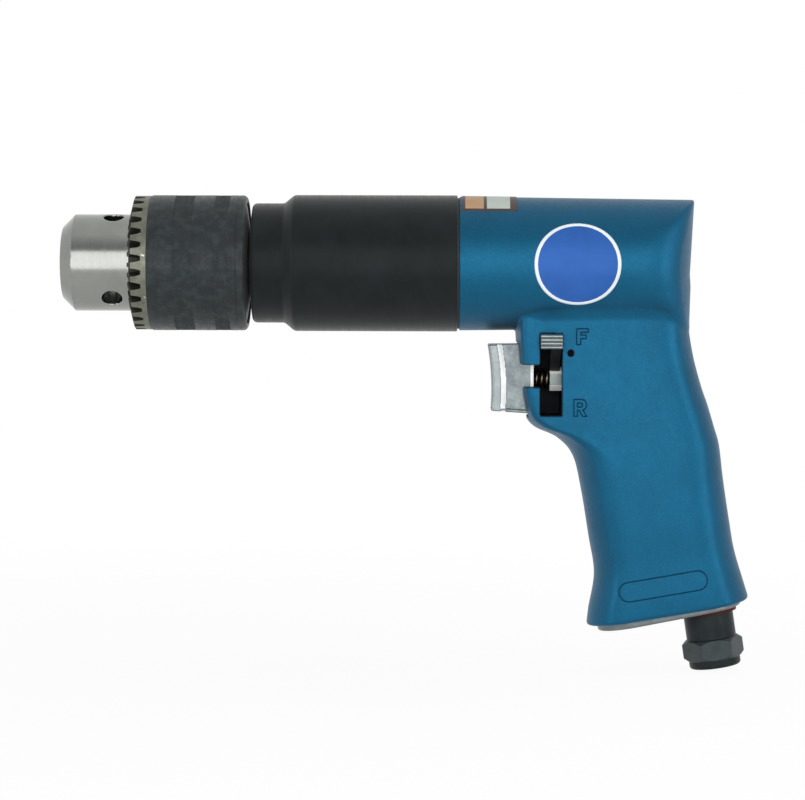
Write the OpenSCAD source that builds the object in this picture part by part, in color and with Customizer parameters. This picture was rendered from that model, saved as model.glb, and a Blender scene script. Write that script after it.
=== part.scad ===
// Pistol grip air drill with a keyed chuck, shown ready to take a drill.
// X runs along the spindle from the chuck nose to the back, Z is up, and the
// origin is the middle of the chuck's nose face. All lengths are millimetres.

/* [Chuck] */
// Length of the chuck, from its nose face to the back of its hub
chuck_len = 59.9; // [58:0.1:64]
// Diameter of the bare nose
nose_d = 30.7; // [30:0.1:32]
// Diameter of the flat nose face
nose_face_d = 23; // [19:0.5:26]
// Length of the bevel behind the nose face
nose_bevel_len = 3.9; // [3:0.1:8]
// Length of nose in front of the sleeve
nose_len = 21.2; // [20:0.1:22]
// Outer diameter of the black sleeve
sleeve_d = 43; // [42:0.1:46]
// Wall of the sleeve round the chuck's core
sleeve_wall = 2.1; // [1.5:0.1:2.5]
// Length of the sleeve, with its teeth
sleeve_len = 37.6; // [36:0.1:38]
// Number of bevel teeth on the sleeve
sleeve_teeth = 30; // [20:1:36]
// Diameter of the pilot holes for the chuck key
key_hole_d = 6.35; // [5:0.05:7]
// Distance of the key holes from the nose face
key_hole_x = 16.4; // [15.5:0.1:17.5]
// Largest drill shank
shank_max = 13; // [12:0.1:13]
// Smallest drill shank
shank_min = 2; // [1.5:0.1:4]
// Lean of the jaws towards the chuck's axis, in degrees
jaw_tilt = 14.5; // [13:0.1:15]
// Diameter of a jaw
jaw_d = 6.8; // [6:0.1:7]

/* [Gear case] */
// Length of the gear case without its spigot
case_len = 65.1; // [63:0.1:70]
// Step of the gear case above the barrel behind it
case_step = 0.35; // [0.1:0.05:1.5]
// Step of the front collar below the main part of the gear case
case_collar_step = 2.65; // [1:0.05:4]
// Wall of the front collar round the spindle's bearings
case_wall = 3; // [2:0.1:4]
// Length of the front collar
case_collar_len = 10.1; // [8:0.1:14]
// Length of the cone between collar and main part
case_cone_len = 3.2; // [2:0.1:6]
// Length of the spigot that enters the housing
spigot_len = 7; // [5:0.1:10]

/* [Gears] */
// Wall of the ring gear behind its teeth
ring_wall = 2.66; // [2.2:0.02:3.4]
// Face width of a planet gear
planet_w = 9; // [7:0.1:10]
// Thickness of a planet carrier
carrier_t = 4; // [3:0.1:5]
// Diameter of a planet pin
planet_pin_d = 5; // [4:0.1:5.5]

/* [Motor] */
// Length of the motor cylinder
cylinder_len = 50; // [44:0.5:52]
// Wall of the motor cylinder, where it is neither thickest nor thinnest
cylinder_wall = 3.1; // [2.8:0.1:3.4]
// Offset of that bore above the rotor's axis
cylinder_offset = 1.5; // [1.2:0.1:1.8]
// Number of vanes
vane_count = 5; // [4:1:6]

/* [Housing] */
// Diameter of the barrel at its front
barrel_d = 42.6; // [42:0.1:45]
// Wall of the barrel round the motor, at its front
barrel_wall = 3.1; // [2.8:0.1:3.6]
// Taper of the barrel's radius towards its back
barrel_taper = 0.9; // [0:0.1:1.4]
// Length of the housing, from the gear case seam to the top of its back
barrel_len = 74.6; // [70:0.5:80]
// Distance from the gear case seam to the front of the grip
grip_setback = 18.9; // [17:0.1:21]
// Reach of the grip, from its front to its heel
grip_reach = 74; // [70:0.5:76]
// Drop of the grip, from the spindle's axis to its toe
grip_drop = 115.5; // [108:0.5:125]
// Width of the grip
grip_w = 31; // [30:0.5:34]

/* [Trigger and valve] */
// Drop of the trigger's stem below the spindle's axis
stem_drop = 36.6; // [36:0.1:38]
// Height of the trigger
trigger_h = 22.6; // [20:0.1:23]
// Width of the trigger
trigger_w = 14; // [11:0.1:15]
// Reach of the trigger in front of the grip
trigger_reach = 9.8; // [8:0.1:12]
// Travel of the trigger
trigger_travel = 4; // [3:0.1:4.2]
// Swing of the reverse lever, in degrees
lever_swing = 60; // [40:1:62]

/* [Air inlet] */
// Width across the flats of the inlet hexagon
inlet_hex_af = 17; // [16.6:0.1:19]
// Height of the inlet hexagon
inlet_hex_h = 6.5; // [5:0.1:9]
// Diameter of the inlet's neck
inlet_neck_d = 15.8; // [15:0.1:16.4]
// Minor diameter of the inlet's thread
inlet_bore = 11.6; // [10:0.1:12]
// Depth of the inlet's thread
inlet_depth = 13; // [10:0.1:16]
// Lean of the inlet, in degrees
inlet_tilt = 8.5; // [7:0.1:11]

/* [Hidden] */
$fn = 72;

// Clearances and the overrun of every cut
overrun = 1;
fit_gap = 0.02;
bore_gap = 0.05;
run_gap = 0.1;
free_gap = 0.3;
end_gap = 0.5;
face_gap = 0.2;

// Chuck
nose_r = nose_d / 2;
sleeve_r = sleeve_d / 2;
sleeve_x0 = nose_len;
sleeve_x1 = sleeve_x0 + sleeve_len;
lip_r = nose_r + run_gap;
guide_bore_r = sleeve_r - sleeve_wall;
guide_r = guide_bore_r - run_gap;
sleeve_front_wall = 5;
tooth_ring_len = 5.8;
tooth_ring_inset = 0.2;
tooth_ring_r = sleeve_r - tooth_ring_inset;
tooth_slope_len = 1.9;
tooth_depth = 3.2;
tooth_gap_w = 2.4;
tooth_gap_floor_w = 1.1;
first_tooth_angle = 86;
sleeve_edge = 1.4;
throat_gap = 0.5;
throat_r = shank_max / 2 + throat_gap;
throat_edge = 0.6;
throat_floor = 7;
socket_len = 15.2;
socket_r = 6.35;
hub_r = 11.3;
hub_len = 0.6;
hub_slope_len = 1.2;
socket_x0 = chuck_len - socket_len;
throat_len = socket_x0 - throat_floor;
screw_r = 2.9;
screw_head_r = 4.6;
screw_head_h = 3.6;
screw_len = 14;
screw_drive_r = 2;
screw_drive_depth = 2;
key_hole_r = key_hole_d / 2;
key_hole_depth = 5.8;
key_hole_angle = 18;

// Jaws: each slides in a leaning bore, with its grip parallel to the axis
jaw_count = 3;
jaw_angle = key_hole_angle + 180 / jaw_count;
jaw_r = jaw_d / 2;
jaw_grip_r = shank_max / 2;
jaw_tip_x = 6;
jaw_set = 2.6;
jaw_tip_r = jaw_grip_r - jaw_set;
jaw_reach = (shank_max - shank_min) / 2 / tan(jaw_tilt);
nut_x0 = sleeve_x0 + sleeve_front_wall + free_gap;
nut_len = 9;
nut_x1 = nut_x0 + nut_len;
nut_hold = 1;
jaw_x1 = nut_x0 + nut_hold + jaw_reach;
jaw_bore_lead = 10;
function jaw_outer(x) = jaw_tip_r + (x - jaw_tip_x) * tan(jaw_tilt) + jaw_r / cos(jaw_tilt);
groove_x0 = nut_x0 - free_gap;
groove_x1 = nut_x1 + free_gap;
groove_r = jaw_outer(nut_x0) - run_gap;

// Barrel, which the gear case and the motor fit
barrel_r0 = barrel_d / 2;
barrel_r1 = barrel_r0 - barrel_taper;
liner_r = barrel_r0 - barrel_wall;
spigot_inset = 1.9;
spigot_r = barrel_r0 - spigot_inset;

// Gear case and spindle bearings
chuck_gap = 0.5;
case_x0 = chuck_len + chuck_gap;
case_x1 = case_x0 + case_len;
case_r = barrel_r0 + case_step;
case_collar_r = case_r - case_collar_step;
case_front_round = 1.3;
case_edge = 0.5;
case_front_wall = 2.6;
spindle_bearing_r = case_collar_r - case_wall;
spindle_bearing_w = 9;
spindle_seat_r = 7.5;
bearing_race = 2.6;
bearing_gap = 2.8;
retainer_t = 1.2;
retainer_w = 5.7;
retainer_r = liner_r - retainer_w;
front_bearing_x = case_x0 + case_front_wall;
rear_bearing_x = front_bearing_x + spindle_bearing_w + bearing_gap;
retainer_x = rear_bearing_x + spindle_bearing_w;
shoulder_r = 8.6;
seal_w = 2;
seal_r = shoulder_r + free_gap + seal_w;
stub_r = socket_r - bore_gap;
stub_x0 = socket_x0 + end_gap;

// Planet stages: a 12 tooth sun, 15 tooth planets and a 42 tooth ring
sun_teeth = 12;
planet_teeth = 15;
ring_teeth = 42;
planet_count = 3;
pressure_angle = 25;
flank_steps = 3;
addendum_share = 0.9;
dedendum_share = 1.2;
tooth_slack = 0.05;
gear_module = (liner_r - ring_wall) / (ring_teeth / 2 + dedendum_share);
planet_orbit = gear_module * (sun_teeth + planet_teeth) / 2;
planet_pin_r = planet_pin_d / 2;
ring_x0 = retainer_x + retainer_t;
carrier_2_x = ring_x0 + end_gap;
planet_2_x = carrier_2_x + carrier_t + end_gap;
carrier_1_x = planet_2_x + planet_w + end_gap;
planet_1_x = carrier_1_x + carrier_t + end_gap;
ring_x1 = planet_1_x + planet_w + end_gap;
carrier_r = gear_module * (ring_teeth / 2 - addendum_share) - end_gap;

// Motor
cylinder_x0 = case_x1;
cylinder_x1 = cylinder_x0 + cylinder_len;
cylinder_r = liner_r - run_gap;
cylinder_bore_r = cylinder_r - cylinder_wall;
rotor_r = cylinder_bore_r - cylinder_offset - run_gap;
rotor_x0 = cylinder_x0 + free_gap;
rotor_x1 = cylinder_x1 - free_gap;
vane_t = 1.7;
vane_h = 7;
front_journal_r = 5;
front_bearing_land = 5.1;
front_motor_bearing_r = cylinder_r - front_bearing_land;
front_motor_bearing_w = 8;
front_motor_bearing_x = cylinder_x0 - front_motor_bearing_w;
rear_journal_r = 4;
rear_bearing_land = 7.1;
rear_motor_bearing_r = cylinder_r - rear_bearing_land;
rear_motor_bearing_w = 7;
rear_plate_t = 10;
rear_plate_wall = 2;
rear_plate_x1 = cylinder_x1 + rear_plate_t;
rear_motor_bearing_x = cylinder_x1 + rear_plate_wall;
plate_opening = 1.4;
motor_gasket_t = 1;
motor_gasket_w = 6.1;
motor_gasket_r = cylinder_r - motor_gasket_w;
bore_end = rear_plate_x1 + motor_gasket_t;
dowel_r = 1.25;
dowel_depth = 4;
dowel_drop = (cylinder_bore_r - cylinder_offset + cylinder_r) / 2;
port_r = 2;
port_count = 4;
port_angle = 50;
port_pitch = cylinder_len / (port_count + 1);

// Housing
seam_t = 0.5;
housing_x0 = case_x1 + seam_t;
housing_x1 = housing_x0 + barrel_len;
back_round_out = 9.6;
back_round_r = barrel_r1 + back_round_out;
back_lean = 3;
grip_x0 = housing_x0 + grip_setback;

// Grip stations from the sole up: front drop and reach, back drop and reach,
// half width, front bow and back bow, as shares of drop, reach and half width
grip_shares = [
    [1.000, 0.300, 0.922, 1.000, 1.00, 0.80, 0.96],
    [0.950, 0.309, 0.869, 0.974, 1.00, 0.75, 0.95],
    [0.853, 0.332, 0.788, 0.936, 0.98, 0.68, 0.92],
    [0.749, 0.307, 0.710, 0.914, 0.98, 0.66, 0.87],
    [0.619, 0.273, 0.594, 0.886, 0.97, 0.61, 0.77],
    [0.528, 0.237, 0.498, 0.867, 0.95, 0.52, 0.68],
    [0.478, 0.168, 0.450, 0.846, 0.93, 0.38, 0.64],
    [0.447, 0.068, 0.390, 0.818, 0.92, 0.26, 0.61],
    [0.407, 0.027, 0.339, 0.790, 0.91, 0.17, 0.58],
    [0.312, 0.004, 0.258, 0.755, 0.90, 0.13, 0.54],
    [0.190, -0.012, 0.173, 0.732, 0.90, 0.13, 0.49],
    [0.137, -0.013, 0.130, 0.730, 0.93, 0.13, 0.46],
    [0.069, -0.013, 0.069, 0.732, 1.14, 0.13, 0.42]
];
grip_steps = 3;
grip_arc_steps = 10;
grip_side_steps = 3;
grip_belly = 0.06;
sole_edge = 1.2;

// Trigger, valve and reverse lever
trigger_x0 = grip_x0 - trigger_reach;
trigger_tail = 4.9;
trigger_x1 = grip_x0 + trigger_tail;
trigger_lean = 1;
trigger_dish = 0.8;
trigger_dish_steps = 8;
trigger_pad_t = 4.4;
trigger_recess = 1;
trigger_lip_h = 1.4;
trigger_z1 = -stem_drop + trigger_h / 2;
trigger_z0 = trigger_z1 - trigger_h;
stem_r = 1.6;
stem_hold = 8;
spring_wire_r = 0.4;
spring_r = 2.9;
spring_turns = 5;
spring_pocket_depth = 4;
spring_pocket_r = spring_r + spring_wire_r + end_gap;
slot_setback = 6.7;
slot_x0 = grip_x0 + slot_setback;
slot_w = 6.9;
slot_x1 = slot_x0 + slot_w;
slot_leg_top = 4.8;
slot_leg_bottom = 2.2;
hub_clearance = 1.1;
hub_x0 = trigger_x1 + trigger_travel + hub_clearance;
hub_half = 3.8;
hub_chamfer = 1.4;
hub_hole_r = stem_r + free_gap;
hub_spigot_len = 3;
valve_x0 = slot_x1 + end_gap;
valve_len = 17;
valve_x1 = valve_x0 + valve_len;
valve_r = 8.3;
valve_hole_r = 3.5;
valve_groove_w = 2.4;
valve_groove_depth = 0.9;
valve_groove_setback = 1;
valve_groove_x = valve_x0 + valve_groove_setback;
valve_port_r = 2;
valve_port_angle = 40;
seat_x0 = valve_x1 + free_gap;
seat_len = 7;
seat_x1 = seat_x0 + seat_len;
poppet_r = 5;
poppet_len = 3;
valve_room = 5;
valve_bore_r = valve_r + run_gap;
valve_bore_x1 = seat_x1 + free_gap + poppet_len + trigger_travel + valve_room;
cross_pin_r = 1;
cross_pin_x = valve_groove_x + valve_groove_w / 2;
cross_pin_gap = 0.2;
cross_pin_rise = valve_r - valve_groove_depth + cross_pin_r + cross_pin_gap;
cross_pin_sink = 2;
cross_pin_len = 22;
knob_len = 6.9;
knob_h = 4.6;
knob_out = 3.6;
knob_gap = 0.4;
knob_rise = 12.3;
knob_inset = 0.1;
knob_x0 = slot_x0 + knob_inset;
knob_ridges = 3;
knob_groove = 0.7;
lever_x1 = slot_x1 - free_gap;
lever_t = 4;
lever_lift = 3;
grip_flat_share = 0.9;
grip_flat = grip_flat_share * grip_w / 2;
knob_y = grip_flat + knob_gap;
lever_angle = atan2(knob_rise - lever_lift, knob_y + knob_out / 2);
lever_len = norm([knob_rise - lever_lift, knob_y + knob_out / 2]);
lever_low_angle = lever_swing - lever_angle;
slot_top_gap = 1.2;
slot_bottom_gap = 3.8;
slot_top = lever_lift + grip_flat * tan(lever_angle) + lever_t / 2 / cos(lever_angle) + slot_top_gap;
lever_low = lever_t / 2 - lever_lift * cos(lever_angle);
slot_bottom = grip_flat * tan(lever_low_angle) + lever_low / cos(lever_low_angle) + slot_bottom_gap;

// Sole, inlet and exhaust
sole_share = 0.744;
function grip_point(drop_share, reach_share) =
    [grip_x0 + reach_share * grip_reach, -drop_share * grip_drop];
toe = grip_point(grip_shares[0][0], grip_shares[0][1]);
heel = grip_point(grip_shares[0][2], grip_shares[0][3]);
sole_tilt = atan2(heel[1] - toe[1], heel[0] - toe[0]);
sole_len = norm(heel - toe);
inlet_at = toe + sole_share * (heel - toe);
deflector_t = 2.4;
deflector_half = 12;
deflector_front = 3.5;
deflector_back = 2.8;
inlet_neck_r = inlet_neck_d / 2;
inlet_neck_len = 8.3;
inlet_collar_r = 8.2;
inlet_collar_h = 2.6;
inlet_collar_edge = 0.7;
hex_bevel = 40;
inlet_turn = 2.5;
inlet_thread_len = 12;
inlet_passage_r = 4.2;
inlet_drop = deflector_t + inlet_neck_len;
inlet_rise = 74;
inlet_seal_w = 1.2;
screen_t = 1.2;
screen_hole_r = 0.8;
screen_ring_r = 2.6;
screen_holes = 6;
exhaust_share = 0.40;
exhaust_r = 6.5;
exhaust_h = 38;
cross_duct_r = 2.4;
cross_duct_rise = exhaust_h - cross_duct_r - end_gap;
exhaust_top = toe + exhaust_share * (heel - toe)
    + cross_duct_rise * [-sin(sole_tilt), cos(sole_tilt)];
exhaust_slots = 4;
exhaust_slot_w = 1.6;
exhaust_slot_len = 9;
felt_h = 20;
side_duct_r = 1.6;
side_duct_y = 10.6;
duct_x = valve_x0 + 0.5 * valve_len;
duct_y = 5;
sole_screw_r = 1.5;
sole_screw_head_r = 2.8;
sole_screw_len = 12;
sole_screw_shares = [0.19, 0.56, 0.56];
sole_screw_sides = [0, -1, 1];
sole_screw_y = 8.5;

// Badge and label
badge_r = 13.6;
badge_t = 0.4;
badge_setback = 37.7;
badge_x = housing_x0 + badge_setback;
label_setback = 0.9;
label_x = housing_x0 + label_setback;
label_len = 17.8;
label_t = 0.2;
label_drop = 4.7;
label_low = barrel_r0 - label_drop;

// Shapes that repeat

module along_x(x, z = 0) {
    translate([x, 0, z]) rotate([0, 90, 0]) children();
}

module rod(x0, x1, r, z = 0) {
    along_x(x0, z) cylinder(r = r, h = x1 - x0);
}

module ring(x0, x1, r_out, r_in, z = 0) {
    difference() {
        rod(x0, x1, r_out, z);
        rod(x0 - overrun, x1 + overrun, r_in, z);
    }
}

// A body of revolution about the X axis, from points [radius, x]
module turned(profile) {
    rotate([0, 90, 0]) rotate_extrude() polygon(profile);
}

module around_x(count, first = 0) {
    for (k = [0:count - 1]) rotate([first + k * 360 / count, 0, 0]) children();
}

// A block between two corners
module block(low, high) {
    translate(low) cube(high - low);
}

// Half the angle of a tooth at radius r, by the involute of its base circle
function involute(a) = tan(a) * 180 / PI - a;
function half_tooth(teeth, r) =
    let (base = gear_module * teeth / 2 * cos(pressure_angle))
    90 / teeth + involute(pressure_angle) - involute(acos(min(1, base / r)));

function gear_points(teeth, r_root, r_tip, slack) = [
    for (k = [0:teeth - 1], side = [-1, 1], s = [0:flank_steps])
        let (
            step = side < 0 ? s : flank_steps - s,
            r = r_root + (r_tip - r_root) * step / flank_steps,
            a = k * 360 / teeth + side * (half_tooth(teeth, r) - slack / r * 180 / PI)
        )
        [r * cos(a), r * sin(a)]
];

module gear(x, width, teeth) {
    pitch_r = gear_module * teeth / 2;
    along_x(x) linear_extrude(width) rotate(180)
        polygon(gear_points(teeth, pitch_r - dedendum_share * gear_module,
            pitch_r + addendum_share * gear_module, tooth_slack));
}

module planet(x, index) {
    rotate([index * 360 / planet_count, 0, 0]) translate([0, 0, planet_orbit]) difference() {
        gear(x, planet_w, planet_teeth);
        rod(x - overrun, x + planet_w + overrun, planet_pin_r + bore_gap);
    }
}

module planet_pins(x) {
    pin_len = carrier_t + end_gap + planet_w + face_gap;
    around_x(planet_count) rod(x, x + pin_len, planet_pin_r, planet_orbit);
}

module planet_pin_holes(x) {
    around_x(planet_count) rod(x - overrun, x + carrier_t + overrun, planet_pin_r + fit_gap, planet_orbit);
}

module outer_race(x, w, r_out, r_in) {
    ring(x, x + w, r_out, r_in + bearing_race + free_gap);
}

module inner_race(x, w, r_in) {
    ring(x, x + w, r_in + bearing_race, r_in + fit_gap);
}

// Chuck

module jaw_bore(r, x1) {
    length = jaw_bore_lead + (x1 - jaw_tip_x) / cos(jaw_tilt);
    translate([jaw_tip_x, 0, jaw_tip_r]) rotate([0, 90 - jaw_tilt, 0])
        translate([0, 0, -jaw_bore_lead]) cylinder(r = r, h = length);
}

module chuck_body() {
    color("silver") difference() {
        turned([
            [throat_r + throat_edge, 0], [nose_face_d / 2, 0], [nose_r, nose_bevel_len],
            [nose_r, groove_x0], [groove_r, groove_x0], [groove_r, groove_x1], [guide_r, groove_x1],
            [guide_r, chuck_len - hub_len - hub_slope_len], [hub_r, chuck_len - hub_len],
            [hub_r, chuck_len], [socket_r, chuck_len], [socket_r, socket_x0],
            [screw_r + run_gap, socket_x0], [screw_r + run_gap, throat_len], [throat_r, throat_len],
            [throat_r, throat_edge]
        ]);
        around_x(jaw_count, jaw_angle) jaw_bore(jaw_r + run_gap, jaw_x1 + overrun);
        around_x(jaw_count, key_hole_angle) translate([key_hole_x, 0, nose_r - key_hole_depth])
            cylinder(r = key_hole_r, h = key_hole_depth + overrun);
    }
}

// One gap between two bevel teeth, cut along the sloping front of the sleeve
module tooth_gap() {
    slope = atan2(tooth_slope_len, tooth_ring_r - lip_r);
    reach = tooth_ring_r - lip_r + 2 * overrun;
    outline = [
        [-tooth_gap_w / 2, -overrun], [tooth_gap_w / 2, -overrun], [tooth_gap_w / 2, 0],
        [tooth_gap_floor_w / 2, tooth_depth], [-tooth_gap_floor_w / 2, tooth_depth], [-tooth_gap_w / 2, 0]
    ];
    translate([sleeve_x0, 0, lip_r]) rotate([0, slope, 0]) translate([0, 0, -overrun])
        linear_extrude(reach) rotate(90) mirror([0, 1]) polygon(outline);
}

module chuck_sleeve() {
    color("#3a3f40") difference() {
        turned([
            [lip_r, sleeve_x0], [tooth_ring_r, sleeve_x0 + tooth_slope_len],
            [tooth_ring_r, sleeve_x0 + tooth_ring_len], [sleeve_r, sleeve_x0 + tooth_ring_len],
            [sleeve_r, sleeve_x1 - sleeve_edge], [sleeve_r - sleeve_edge, sleeve_x1],
            [guide_bore_r, sleeve_x1], [guide_bore_r, sleeve_x0 + sleeve_front_wall],
            [lip_r, sleeve_x0 + sleeve_front_wall]
        ]);
        around_x(sleeve_teeth, first_tooth_angle) tooth_gap();
    }
}

module chuck_nut() {
    color("dimgray") turned([
        [jaw_outer(nut_x0) + run_gap, nut_x0], [guide_bore_r - fit_gap, nut_x0],
        [guide_bore_r - fit_gap, nut_x1], [jaw_outer(nut_x1) + run_gap, nut_x1]
    ]);
}

// A leaning round bar, cut back to a 120 degree wedge that grips along the axis
module chuck_jaw(index) {
    depth = 4 * jaw_d;
    color("gray") rotate([jaw_angle + index * 360 / jaw_count, 0, 0]) intersection() {
        jaw_bore(jaw_r, jaw_x1 + jaw_r);
        along_x(jaw_tip_x) linear_extrude(jaw_x1 - jaw_tip_x)
            polygon([[-jaw_grip_r, 0], [-jaw_grip_r - depth, depth * tan(60)],
                [-jaw_grip_r - depth, -depth * tan(60)]]);
    }
}

module chuck_jaw_1() chuck_jaw(0);
module chuck_jaw_2() chuck_jaw(1);
module chuck_jaw_3() chuck_jaw(2);

module chuck_screw() {
    color("dimgray") difference() {
        union() {
            rod(throat_len - screw_head_h, throat_len, screw_head_r);
            rod(throat_len - fit_gap, throat_len + screw_len, screw_r);
        }
        along_x(throat_len - screw_head_h - overrun)
            cylinder(r = screw_drive_r, h = screw_drive_depth + overrun, $fn = 6);
    }
}

// Gear case and spindle

module gear_case() {
    cone_x0 = case_x0 + case_collar_len;
    seat_r = spindle_bearing_r + fit_gap;
    color("#2c3234") turned([
        [seal_r + fit_gap, case_x0], [case_collar_r - case_front_round, case_x0],
        for (a = [30, 60]) [
            case_collar_r - case_front_round * (1 - sin(a)),
            case_x0 + case_front_round * (1 - cos(a))
        ],
        [case_collar_r, case_x0 + case_front_round], [case_collar_r, cone_x0],
        [case_r, cone_x0 + case_cone_len], [case_r, case_x1 - case_edge], [case_r - case_edge, case_x1],
        [spigot_r, case_x1], [spigot_r, case_x1 + spigot_len], [liner_r, case_x1 + spigot_len],
        [liner_r, retainer_x], [seat_r, retainer_x], [seat_r, front_bearing_x],
        [seal_r + fit_gap, front_bearing_x]
    ]);
}

module case_gasket() {
    color("#202020") ring(case_x1, housing_x0, barrel_r0 - case_edge, spigot_r + fit_gap);
}

module dust_seal() {
    color("#202020") ring(case_x0 + free_gap, front_bearing_x - free_gap, seal_r, seal_r - seal_w);
}

module ring_gear() {
    pitch_r = gear_module * ring_teeth / 2;
    color("slategray") difference() {
        rod(ring_x0, ring_x1, liner_r - fit_gap);
        along_x(ring_x0 - overrun) linear_extrude(ring_x1 - ring_x0 + 2 * overrun)
            polygon(gear_points(ring_teeth, pitch_r - addendum_share * gear_module,
                pitch_r + dedendum_share * gear_module, -tooth_slack));
    }
}

module spindle_front_bearing_outer() {
    color("silver") outer_race(front_bearing_x, spindle_bearing_w, spindle_bearing_r, spindle_seat_r);
}

module spindle_rear_bearing_outer() {
    color("silver") outer_race(rear_bearing_x, spindle_bearing_w, spindle_bearing_r, spindle_seat_r);
}

module spindle_front_bearing_inner() {
    color("silver") inner_race(front_bearing_x, spindle_bearing_w, spindle_seat_r);
}

module spindle_rear_bearing_inner() {
    color("silver") inner_race(rear_bearing_x, spindle_bearing_w, spindle_seat_r);
}

module bearing_spacer() {
    color("gray") ring(front_bearing_x + spindle_bearing_w, rear_bearing_x,
        spindle_bearing_r, spindle_bearing_r - bearing_race);
}

module bearing_retainer() {
    color("gray") ring(retainer_x, ring_x0, liner_r - fit_gap, retainer_r);
}

module spindle() {
    color("silver") difference() {
        turned([
            [0, stub_x0], [stub_r, stub_x0], [stub_r, chuck_len], [shoulder_r, chuck_len],
            [shoulder_r, front_bearing_x], [spindle_seat_r, front_bearing_x],
            [spindle_seat_r, carrier_2_x], [carrier_r, carrier_2_x],
            [carrier_r, carrier_2_x + carrier_t], [0, carrier_2_x + carrier_t]
        ]);
        rod(stub_x0 - overrun, throat_len + screw_len + end_gap, screw_r + run_gap);
        planet_pin_holes(carrier_2_x);
    }
}

module second_stage_pins() {
    color("silver") planet_pins(carrier_2_x);
}

module second_stage_planet_1() color("slategray") planet(planet_2_x, 0);
module second_stage_planet_2() color("slategray") planet(planet_2_x, 1);
module second_stage_planet_3() color("slategray") planet(planet_2_x, 2);

module first_stage_carrier() {
    color("silver") difference() {
        union() {
            gear(planet_2_x - face_gap, face_gap + planet_w + end_gap + fit_gap, sun_teeth);
            rod(carrier_1_x, carrier_1_x + carrier_t, carrier_r);
        }
        planet_pin_holes(carrier_1_x);
    }
}

module first_stage_pins() {
    color("silver") planet_pins(carrier_1_x);
}

module first_stage_planet_1() color("slategray") planet(planet_1_x, 0);
module first_stage_planet_2() color("slategray") planet(planet_1_x, 1);
module first_stage_planet_3() color("slategray") planet(planet_1_x, 2);

// Vane motor

module dowel_hole(x0, x1) {
    rod(x0, x1, dowel_r + fit_gap, -dowel_drop);
}

module front_end_plate() {
    color("gray") difference() {
        rod(ring_x1, cylinder_x0, liner_r - fit_gap);
        rod(ring_x1 - overrun, cylinder_x0, front_journal_r + plate_opening);
        rod(front_motor_bearing_x, cylinder_x0 + overrun, front_motor_bearing_r + fit_gap);
        dowel_hole(cylinder_x0 - dowel_depth, cylinder_x0 + overrun);
    }
}

module rear_end_plate() {
    color("gray") difference() {
        rod(cylinder_x1, rear_plate_x1, cylinder_r);
        rod(cylinder_x1 - overrun, rear_plate_x1, rear_journal_r + plate_opening);
        rod(rear_motor_bearing_x, rear_plate_x1 + overrun, rear_motor_bearing_r + fit_gap);
        dowel_hole(cylinder_x1 - overrun, cylinder_x1 + dowel_depth);
    }
}

module motor_cylinder() {
    color("darkgray") difference() {
        rod(cylinder_x0, cylinder_x1, cylinder_r);
        rod(cylinder_x0 - overrun, cylinder_x1 + overrun, cylinder_bore_r, cylinder_offset);
        dowel_hole(cylinder_x0 - overrun, cylinder_x1 + overrun);
        for (side = [-1, 1], k = [1:port_count])
            rotate([180 + side * port_angle, 0, 0]) translate([cylinder_x0 + k * port_pitch, 0, 0])
                cylinder(r = port_r, h = cylinder_r + overrun);
    }
}

module cylinder_pin() {
    color("silver") rod(cylinder_x0 - dowel_depth, cylinder_x1 + dowel_depth, dowel_r, -dowel_drop);
}

module motor_gasket() {
    color("#202020") ring(rear_plate_x1, bore_end, cylinder_r, motor_gasket_r);
}

module rotor_front_bearing_outer() {
    color("silver")
        outer_race(front_motor_bearing_x, front_motor_bearing_w, front_motor_bearing_r, front_journal_r);
}

module rotor_front_bearing_inner() {
    color("silver") inner_race(front_motor_bearing_x, front_motor_bearing_w, front_journal_r);
}

module rotor_rear_bearing_outer() {
    color("silver")
        outer_race(rear_motor_bearing_x, rear_motor_bearing_w, rear_motor_bearing_r, rear_journal_r);
}

module rotor_rear_bearing_inner() {
    color("silver") inner_race(rear_motor_bearing_x, rear_motor_bearing_w, rear_journal_r);
}

// The vanes, or with a gap the slots that they slide in
module vane_block(gap, reach) {
    around_x(vane_count) block(
        [rotor_x0 - reach, -vane_t / 2 - gap, rotor_r - vane_h - gap],
        [rotor_x1 + reach, vane_t / 2 + gap, rotor_r + reach]
    );
}

module rotor() {
    color("silver") difference() {
        union() {
            gear(planet_1_x - face_gap, face_gap + planet_w + end_gap + face_gap + fit_gap, sun_teeth);
            rod(ring_x1 + face_gap, rotor_x0 + fit_gap, front_journal_r);
            rod(rotor_x0, rotor_x1, rotor_r);
            rod(rotor_x1 - fit_gap, rear_motor_bearing_x + rear_motor_bearing_w, rear_journal_r);
        }
        vane_block(bore_gap, overrun);
    }
}

module rotor_vanes() {
    color("saddlebrown") vane_block(0, -run_gap);
}

// Housing

// A smooth curve through four stations
function between(a, b, c, d, t) =
    0.5 * (2 * b + (c - a) * t + (2 * a - 5 * b + 4 * c - d) * t * t + (3 * b - a - 3 * c + d) * t * t * t);

function station(t) =
    let (
        last = len(grip_shares) - 1,
        k = min(floor(t), last - 1),
        row = function (i) grip_shares[max(0, min(last, i))]
    )
    between(row(k - 1), row(k), row(k + 1), row(k + 2), t - k);

// Round of a section's end: its depth and side offset at share s, from side to side
function bow(half, depth, s) =
    let (
        r = (half * half + depth * depth) / (2 * depth),
        open = atan2(half, r - depth),
        a = open * (2 * s - 1)
    )
    [r * (1 - cos(a)), r * sin(a)];

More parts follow.
